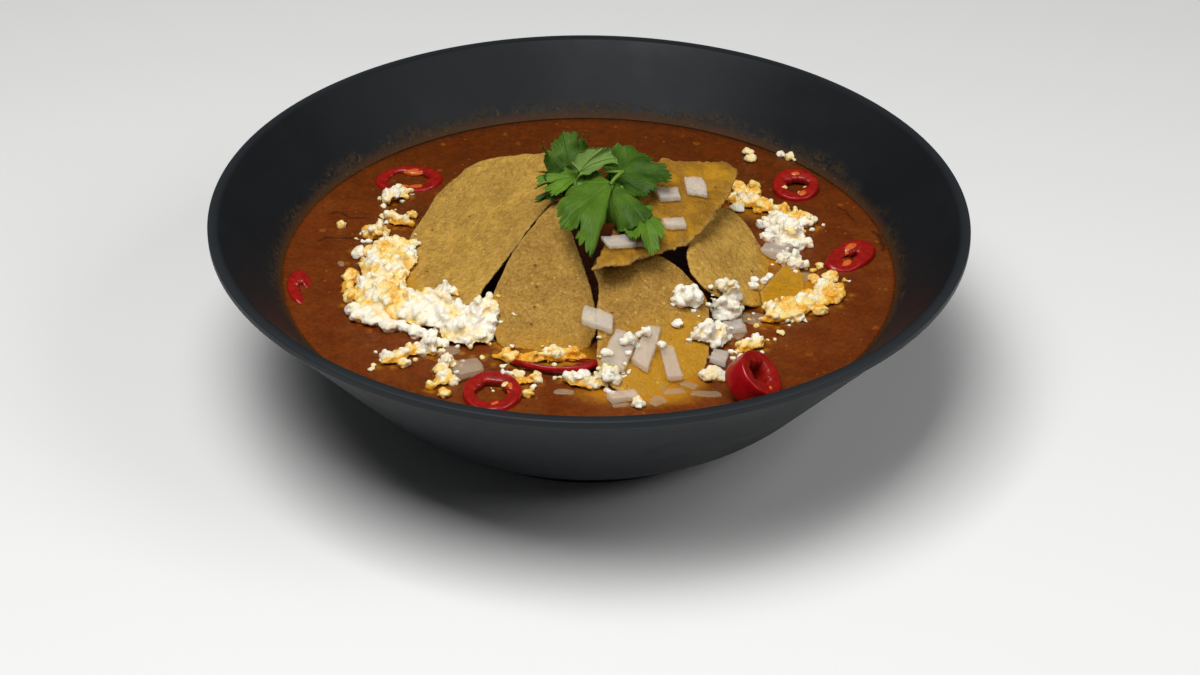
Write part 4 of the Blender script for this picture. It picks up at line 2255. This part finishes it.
@dataclass
class SunkOnion:
    """The bits of onion that show through the surface of the soup, as one piece."""

    bits: tuple[SunkBit, ...] = (
        SunkBit(800, 279, 5.0, 3.2, 20.0),
        SunkBit(757, 320, 3.6, 2.8, 70.0),
        SunkBit(744, 317, 3.0, 2.6, -20.0),
        SunkBit(738, 334, 3.4, 2.2, 60.0),
        SunkBit(706, 394, 4.4, 1.5, -6.0),
        SunkBit(656, 388, 4.2, 1.6, 24.0),
        SunkBit(657, 401, 2.6, 2.4, 40.0),
        SunkBit(674, 392, 3.6, 1.5, 12.0),
        SunkBit(688, 385, 3.0, 1.7, -28.0),
        SunkBit(620, 404, 2.4, 1.6, 20.0),
        SunkBit(564, 392, 3.0, 1.6, 0.0),
        SunkBit(448, 352, 3.4, 2.2, 30.0),
        SunkBit(341, 264, 1.0, 1.5, 15.0),
    )
    rise: float = 0.55  # how far their tops are above the soup's level
    half: float = 1.3  # half their thickness
    soaked: float = 0.85

    def build(self, kit: Kit) -> Item:
        """Makes the bits.

        Args:
            kit: What the dish is made with.

        Returns:
            The piece.
        """
        bead = bead_shape(3)
        blobs = []
        for number, bit in enumerate(self.bits):
            place = kit.studio.at_height(bit, SOUP_LEVEL)
            turn = math.radians(bit.turn)
            square = np.sign(bead.points) * np.abs(bead.points) ** 0.62
            bumps = 1 + 0.14 * fractal_noise(bead.points * 2 + number * 5, 1.6, number, 2)
            local = square * bumps[:, None] * np.array([bit.length, bit.width, self.half])
            points = np.column_stack([
                local[:, 0] * math.cos(turn) - local[:, 1] * math.sin(turn) + place.x,
                local[:, 0] * math.sin(turn) + local[:, 1] * math.cos(turn) + place.y,
                local[:, 2] + SOUP_LEVEL + self.rise - self.half,
            ])
            blobs.append(Shape(points, bead.faces, {"soaked": np.full(len(points), self.soaked)}))
        whole = gathered(blobs)
        piece = whole.piece("onion_in_soup", [kit.finishes.onion])
        return dressed(piece, "onion")


# Coriander


@dataclass
class Leaf:
    """A coriander leaf: a thin lobed and toothed sheet, wrapped along and across."""

    node: str
    base: tuple[float, float, float]
    tip: tuple[float, float, float]
    width: float
    roll: float
    bend: float
    cup: float
    fresh: float = 0.5  # how light its green is
    lobed: float = 1.0  # how deep its lobes are cut
    seed: int = 1
    half_turn: float = 115.0
    short_sides: float = 0.42
    notch: float = 0.34
    notch_count: float = 2.5
    ruffle: float = 1.1
    waist: float = 0.0  # how much shorter the lobes beside the tip are
    fold: float = 0.0  # how far the right side turns under
    pale: float = 0.4  # how pale its underside is
    unit_width: float = 1.46
    thickness: float = 0.34
    steps: int = 361
    rings: int = 20

    def reach(self, turn: Array) -> Array:
        """Gives the distance from the stem to the edge, for a length of one.

        Args:
            turn: The direction, from -1 to 1 of the half turn.

        Returns:
            One distance for each direction.
        """
        notch = np.abs(np.sin(self.notch_count * math.pi * turn))
        stray = 0.006 * np.sin(turn * 17 + self.seed)
        teeth = np.abs(np.cos(3 * self.notch_count * math.pi * (turn + stray)))
        fine = np.abs(np.cos(9 * self.notch_count * math.pi * (turn - stray)))
        length = 1.03 - 0.10 * np.sin(5 * turn + 2 * self.seed) ** 2
        smooth = length * (1 - self.short_sides * turn**2)
        smooth *= 1 - self.waist * np.exp(-(((np.abs(turn) - 0.32) / 0.16) ** 2))
        smooth *= 1 - self.lobed * (0.08 * notch**3 + 0.9 * self.notch * notch**12)
        smooth *= 1 - 0.14 * self.lobed * (1 - teeth) ** 1.4
        return smooth * (1 - (0.02 + 0.09 * self.lobed) * (1 - fine))

    def veins(self, turn: Array, share: Array) -> Array:
        """Paints the veins.

        Args:
            turn: The direction of each point.
            share: Its distance from the stem, as a share of the way to the edge.

        Returns:
            One number for each point, 1 on a vein.
        """
        angle = turn * math.radians(self.half_turn)
        total = np.zeros_like(angle)
        most = int(0.95 * self.notch_count)
        for lobe in (k / self.notch_count for k in range(-most, most + 1)):
            off = angle - lobe * math.radians(self.half_turn)
            along, across = share * np.cos(off), share * np.sin(off)
            inside = np.abs(turn - lobe) < 0.55 / self.notch_count
            main = np.exp(-((across / 0.016) ** 2)) * (share < 0.93) * inside
            slant = (along - 1.15 * np.abs(across)) * 8.0
            side = np.exp(-((np.abs(slant % 1 - 0.5) / 0.10) ** 2)) * inside
            side *= (along > 0.2) * (np.abs(across) < 0.24)
            total = np.maximum(total, np.maximum(main, 0.45 * side))
        return total

    @staticmethod
    def wrapped(along: Array, height: Array, angle: float, length: float,
                fold: float = 0.0) -> tuple[Array, Array]:
        """Wraps a coordinate and its height round a bend, with a tight fold on its far side.

        Args:
            along: The coordinate.
            height: The height over the sheet.
            angle: How far the sheet turns over its length, in radians.
            length: The sheet's length.
            fold: How far it turns more where it folds, in radians.

        Returns:
            The coordinate and the height once wrapped.
        """
        half = 400
        way = np.linspace(-2 * length, 2 * length, 2 * half + 1)
        turn = angle * way / length + fold * eased(way, -0.4, 3.4)
        step = way[1] - way[0]
        across, down = np.cumsum(np.cos(turn)) * step, np.cumsum(np.sin(turn)) * step
        here = np.interp(along, way, turn)
        return (np.interp(along, way, across - across[half]) + height * np.sin(here),
                np.interp(along, way, down[half] - down) + height * np.cos(here))

    def placed(self, turn: Array, share: Array, face: float) -> Array:
        """Gives the points of one face of the leaf.

        Args:
            turn: The direction of each point, from -1 to 1.
            share: Its distance from the stem, as a share of the way to the edge.
            face: 1 for the upper face and -1 for the lower.

        Returns:
            The points.
        """
        start = Vector(self.base)
        chord = Vector(self.tip) - start
        axis = chord.normalized()
        level = Vector((0, 0, 1)).cross(axis).normalized()
        side = Matrix.Rotation(math.radians(self.roll), 3, axis) @ level
        normal = axis.cross(side)
        bend, cup = math.radians(self.bend), math.radians(self.cup)
        length = chord.length * bend / (2 * math.sin(bend / 2))
        reach = share * self.reach(turn)
        angle = turn * math.radians(self.half_turn)
        across = self.width / self.unit_width * reach * np.sin(angle)
        along = length * reach * np.cos(angle)
        flat = np.column_stack([along, across, np.full(len(along), float(self.seed))])
        wave = self.ruffle * fractal_noise(flat, 5.0, self.seed, 2) * share**1.5
        wave += 1.5 * np.abs(np.sin(self.notch_count * math.pi * turn)) * share**1.5 - 0.3
        wave += 0.25 * np.cos(6 * self.notch_count * math.pi * turn) * share**4
        wave -= 0.28 * self.veins(turn, share)
        thin = self.thickness / 2 * (1 - 0.6 * share**6)
        v, lift = self.wrapped(across, wave + face * thin, cup, self.width,
                               math.radians(self.fold))
        u, w = self.wrapped(along, lift, bend, length)
        turned_u = u * math.cos(bend / 2) - w * math.sin(bend / 2)
        turned_w = u * math.sin(bend / 2) + w * math.cos(bend / 2)
        return (np.array(start) + turned_u[:, None] * np.array(axis)
                + v[:, None] * np.array(side) + turned_w[:, None] * np.array(normal))

    def build(self, kit: Kit) -> Item:
        """Makes the leaf.

        Args:
            kit: What the dish is made with.

        Returns:
            The piece.
        """
        turns = np.linspace(-1, 1, self.steps)
        shares = np.linspace(0, 1, self.rings + 1)[1:]
        turn, share = (grid.ravel() for grid in np.meshgrid(turns, shares, indexing="xy"))
        side = len(turn) + 1
        zero = np.zeros(1)
        points = np.concatenate([
            self.placed(turn, share, 1.0), self.placed(zero, zero, 1.0),
            self.placed(turn, share, -1.0), self.placed(zero, zero, -1.0)])
        index = np.arange(len(turn)).reshape(self.rings, self.steps)
        a, b = index[:-1, :-1].ravel(), index[:-1, 1:].ravel()
        c, d = index[1:, :-1].ravel(), index[1:, 1:].ravel()
        fan = np.stack([np.full(self.steps - 1, side - 1), index[0, 1:], index[0, :-1]], 1)
        top = np.concatenate([quads(a, c, d, b), fan])
        rim = np.concatenate([[side - 1], index[:, 0], index[-1, 1:], index[-2::-1, -1]])
        after = np.roll(rim, -1)
        wall = quads(rim, after, after + side, rim + side)
        faces = np.concatenate([top, top[:, ::-1] + side, wall])
        vein = np.concatenate([self.veins(turn, share), [1.0]]) * (0.3 + 0.7 * self.fresh)
        fresh = np.full(2 * side, self.fresh)
        under = np.concatenate([np.zeros(side), np.full(side, self.pale)])
        masks = {"vein": np.tile(vein, 2), "fresh": fresh, "under": under}
        piece = Shape(points, faces, masks).piece(self.node.replace("leaf", "coriander"),
                                                  [kit.finishes.leaf])
        return dressed(piece, "leaf", self.node)


@dataclass(frozen=True)
class StemRun:
    """A thin stem through a row of points."""

    points: tuple[tuple[float, float, float], ...]
    thick: float = 0.55


@dataclass
class Stems:
    """The thin stems that join the leaves, as one piece."""

    runs: tuple[StemRun, ...] = (
        StemRun(((9.5, -3.5, 74.8), (8.2, -6.2, 75.2), (6.4, -8.6, 74.3), (4.5, -14.0, 72.9)), 0.65),
        StemRun(((9.5, -3.5, 74.8), (3.5, -3.2, 74.2), (-0.5, -6.5, 72.0), (-3.5, -9.0, 70.6)), 0.5),
        StemRun(((9.0, -8.0, 72.6), (11.0, -11.0, 69.8), (13.0, -13.5, 68.6), (15.0, -15.2, 68.5)), 0.5),
        StemRun(((9.5, -3.5, 74.8), (8.0, -1.0, 73.2), (5.5, 3.5, 71.2)), 0.6),
        StemRun(((3.0, -1.0, 72.6), (-1.0, 1.0, 71.2), (-4.5, 2.5, 69.8)), 0.55),
    )
    sides: int = 10
    steps: int = 24

    def tube(self, run: StemRun) -> Shape:
        """Sweeps one stem.

        Args:
            run: Its points and thickness.

        Returns:
            The closed tube.
        """
        knots = np.array(run.points)
        place = np.linspace(0, len(knots) - 1, self.steps)
        padded = np.concatenate([[2 * knots[0] - knots[1]], knots, [2 * knots[-1] - knots[-2]]])
        line = []
        for t in place:
            k = min(int(t), len(knots) - 2)
            s = t - k
            p0, p1, p2, p3 = padded[k:k + 4]
            line.append(0.5 * (2 * p1 + (p2 - p0) * s + (2 * p0 - 5 * p1 + 4 * p2 - p3) * s * s
                               + (3 * p1 - p0 - 3 * p2 + p3) * s**3))
        line = np.array(line)
        way = np.gradient(line, axis=0)
        way /= np.linalg.norm(way, axis=1, keepdims=True)
        side = np.cross(way, [0, 0, 1.0])
        side /= np.linalg.norm(side, axis=1, keepdims=True)
        up = np.cross(side, way)
        turn = np.linspace(0, 2 * math.pi, self.sides, endpoint=False)
        taper = run.thick * (1 - 0.35 * np.linspace(0, 1, self.steps))
        outward = (np.cos(turn)[None, :, None] * side[:, None]
                   + np.sin(turn)[None, :, None] * up[:, None])
        rings = line[:, None] + taper[:, None, None] * outward
        points = np.concatenate([rings.reshape(-1, 3), line[:1], line[-1:]])
        index = np.arange(self.steps * self.sides).reshape(self.steps, self.sides)
        after = np.roll(index, -1, axis=1)
        a, b = index[:-1].ravel(), after[:-1].ravel()
        c, d = index[1:].ravel(), after[1:].ravel()
        first, last = len(points) - 2, len(points) - 1
        faces = np.concatenate([
            quads(a, b, d, c),
            np.stack([after[0], index[0], np.full(self.sides, first)], 1),
            np.stack([index[-1], after[-1], np.full(self.sides, last)], 1)])
        return Shape(points, faces)

    def build(self, kit: Kit) -> Item:
        """Makes the stems.

        Args:
            kit: What the dish is made with.

        Returns:
            The piece.
        """
        whole = gathered(self.tube(run) for run in self.runs)
        count = len(whole.points)
        whole.finishes = None
        whole.masks = {"vein": np.full(count, 0.5), "fresh": np.full(count, 0.6),
                       "under": np.full(count, 0.3)}
        piece = whole.piece("coriander_stems", [kit.finishes.leaf])
        return dressed(piece, "leaf")


# The dish


CHIPS = (
    CornChip("chip_left", toast=0.08, seed=3, wet_below=41.5, wet_reach=3.0, pulls=(
        EdgePull(-43.5, 30.5, -1.5, 6.0), EdgePull(-50.5, 20.5, -2.2, 8.0),
        EdgePull(-33.5, -30.5, 2.2, 4.5))),
    CornChip("chip_front_left", toast=0.58, seed=13, wet_below=41.8, wet_reach=4.0, pulls=(
        EdgePull(-24.0, -16.4, 0.5, 6.0), EdgePull(-16.0, -8.5, 0.9, 7.0))),
    CornChip("chip_top", Chip.OILY, ragged=0.6, bubble=0.5, toast=0.75, seed=23),
    CornChip("chip_front", toast=0.75, seed=33, wet_below=44.5, wet_reach=7.0, pulls=(
        EdgePull(7.0, -26.5, 5.0, 6.0), EdgePull(18.0, -24.1, 7.0, 9.0),
        EdgePull(2.0, -38.0, 1.5, 7.0))),
    CornChip("chip_right", seed=43, wet_below=42.0, wet_reach=3.5),
    CornChip("chip_wet", Chip.SOAKED, seed=53, wet_below=45.0),
)

STAINS = {  # how much oil each heap of cheese has taken up
    "left": 0.85, "far_left": 0.8, "left_high": 0.95, "on_slice": 0.7, "front_left": 0.6,
    "near_rim": 0.75, "foot": 1.1, "front": 0.55, "middle": 0.9, "chip_left": 0.05,
    "chip_right": 0.08, "chip_front": 0.08, "back_right": 0.95, "right": 0.3, "right_low": 0.35,
    "far_right": 0.85, "by_chilli": 0.65,
}
CLEAN_SIDES = {"left": (-58.0, -36.0)}
CHEESE = tuple(
    CheeseHeap(f"cheese_{name}", stain, name.startswith("chip_"), CLEAN_SIDES.get(name), seed)
    for seed, (name, stain) in enumerate(STAINS.items(), 101)
)

SLICES = (
    ChilliSlice("chilli_back_right", (63.4, 45.5, 43.6), 7.1, 2.8, tilt=12.0, sink=0.9,
                seeds=((200, 0.62), (285, 0.66), (335, 0.6)), pith=(90, 300), seed=1),
    ChilliSlice("chilli_right", (77.5, 4.5, 43.4), 5.2, 2.6, oval=1.7, heading=45.0, tilt=10.0,
                sink=0.9, dip=(200.0, 1.0), pith=(60, 200), seed=2),
    ChilliSlice("chilli_front_right", (45.2, -66.5, 46.4), 7.2, 7.5, heading=72.0, tilt=40.0,
                pith=(250,), seed=3),
    ChilliSlice("chilli_front_left", (-25.6, -69.0, 42.9), 7.9, 2.8, tilt=7.0, sink=0.6,
                seeds=((40, 0.62),), pith=(280, 20), seed=4),
    ChilliSlice("chilli_thin", (-9.4, -54.5, 43.8), 4.6, 2.2, oval=2.6, heading=-6.0, tilt=6.0,
                wall=1.0, swell=0.0, dip=(90.0, 3.2), seed=5),
    ChilliSlice("chilli_left", (-82.4, -16.0, 42.2), 4.6, 2.4, oval=1.8, heading=108.0, tilt=-14.0,
                wall=2.6, swell=0.4, dip=(0.0, 4.2), seed=6),
    ChilliSlice("chilli_back_left", (-56.4, 48.0, 42.6), 7.4, 2.4, oval=1.38, heading=8.0, tilt=5.0,
                swell=0.5, sink=0.8, dip=(120.0, 0.7), pith=(75, 250, 285), seed=7),
)

SOAKED = {  # how far each piece of onion has taken the soup's colour
    "top_back": 0.0, "top_middle": 0.0, "top_front": 0.0, "top_edge": 0.0, "front_a": 0.0,
    "front_b": 0.1, "front_c": 0.15, "front_d": 0.3, "front_e": 0.2, "right": 0.0,
    "by_cheese": 0.1, "round": 0.2, "left_green": 0.7,
}
ONION = tuple(OnionPiece(f"onion_{name}", soaked, seed)
              for seed, (name, soaked) in enumerate(SOAKED.items(), 1))

LEAVES = (
    Leaf("leaf_front", (6.2, -9.5, 74.8), (0.0, -36.8, 65.2), 25, 4, 35, 60, 0.26, 0.5, 1,
         short_sides=0.26, notch_count=2.5, waist=0.1, fold=165.0, ruffle=1.8),
    Leaf("leaf_rolled", (6.4, -9.8, 73.6), (16.0, -21.2, 68.2), 21, 0, 30, 250, 0.12, 0.0, 2,
         ruffle=0.4),
    Leaf("leaf_right", (14.2, -15.8, 69.0), (17.6, -29.8, 63.0), 12, -8, 45, 80, 0.42, 0.5, 3),
    Leaf("leaf_left", (-3.6, -0.4, 71.4), (-17.0, -3.2, 68.8), 14, -4, 20, 30, 0.5, 1.1, 4),
    Leaf("leaf_left_low", (-5.5, -1.8, 67.2), (-16.0, -5.0, 65.4), 9, 8, 20, 25, -0.2, 1.0, 5),
    Leaf("leaf_standing", (-5.0, 2.5, 69.5), (-8.0, 11, 80.5), 19, 160, -40, 140, 0.05, 0.5, 6,
         ruffle=2.6, pale=0.1),
    Leaf("leaf_pale", (-2.5, -2.5, 73.9), (8.5, 1.5, 75.8), 9, 200, -70, 170, 0.6, 0.1, 7,
         ruffle=0.5, pale=0.95),
    Leaf("leaf_back", (5.5, 3.5, 70.6), (23.5, 4.5, 69.2), 23, 10, 18, 25, -0.4, 0.4, 8,
         ruffle=1.8),
)


def main() -> None:
    """Builds the camera and stage, then the dish from the bowl up."""
    logging.basicConfig(level=logging.INFO, format="%(message)s")
    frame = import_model()
    solid_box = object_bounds()
    nodes = frame["nodes"]
    studio = Studio()
    studio.build()
    finishes = Finishes()
    crumbs = CrumbCover()
    crumbs.group = crumbs.tree(finishes.cheese)
    carriers = [name for name in nodes if name == "broth" or name.startswith(("chip", "onion"))]
    kit = Kit(nodes, finishes, studio, Ground(nodes, carriers), Bowl(), crumbs)
    dish = (kit.bowl, Broth(), *CHIPS, *CHEESE, LooseCrumbs(), *SLICES, *ONION, SunkOnion(),
            *LEAVES, Stems())
    for part in dish:
        piece = part.build(kit)
        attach(piece, BODY)
        LOG.info("%s: %d faces", piece.name, len(piece.data.polygons))
    boxes = [[list(corner) for corner in box] for box in (solid_box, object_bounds())]


if __name__ == "__main__":
    main()
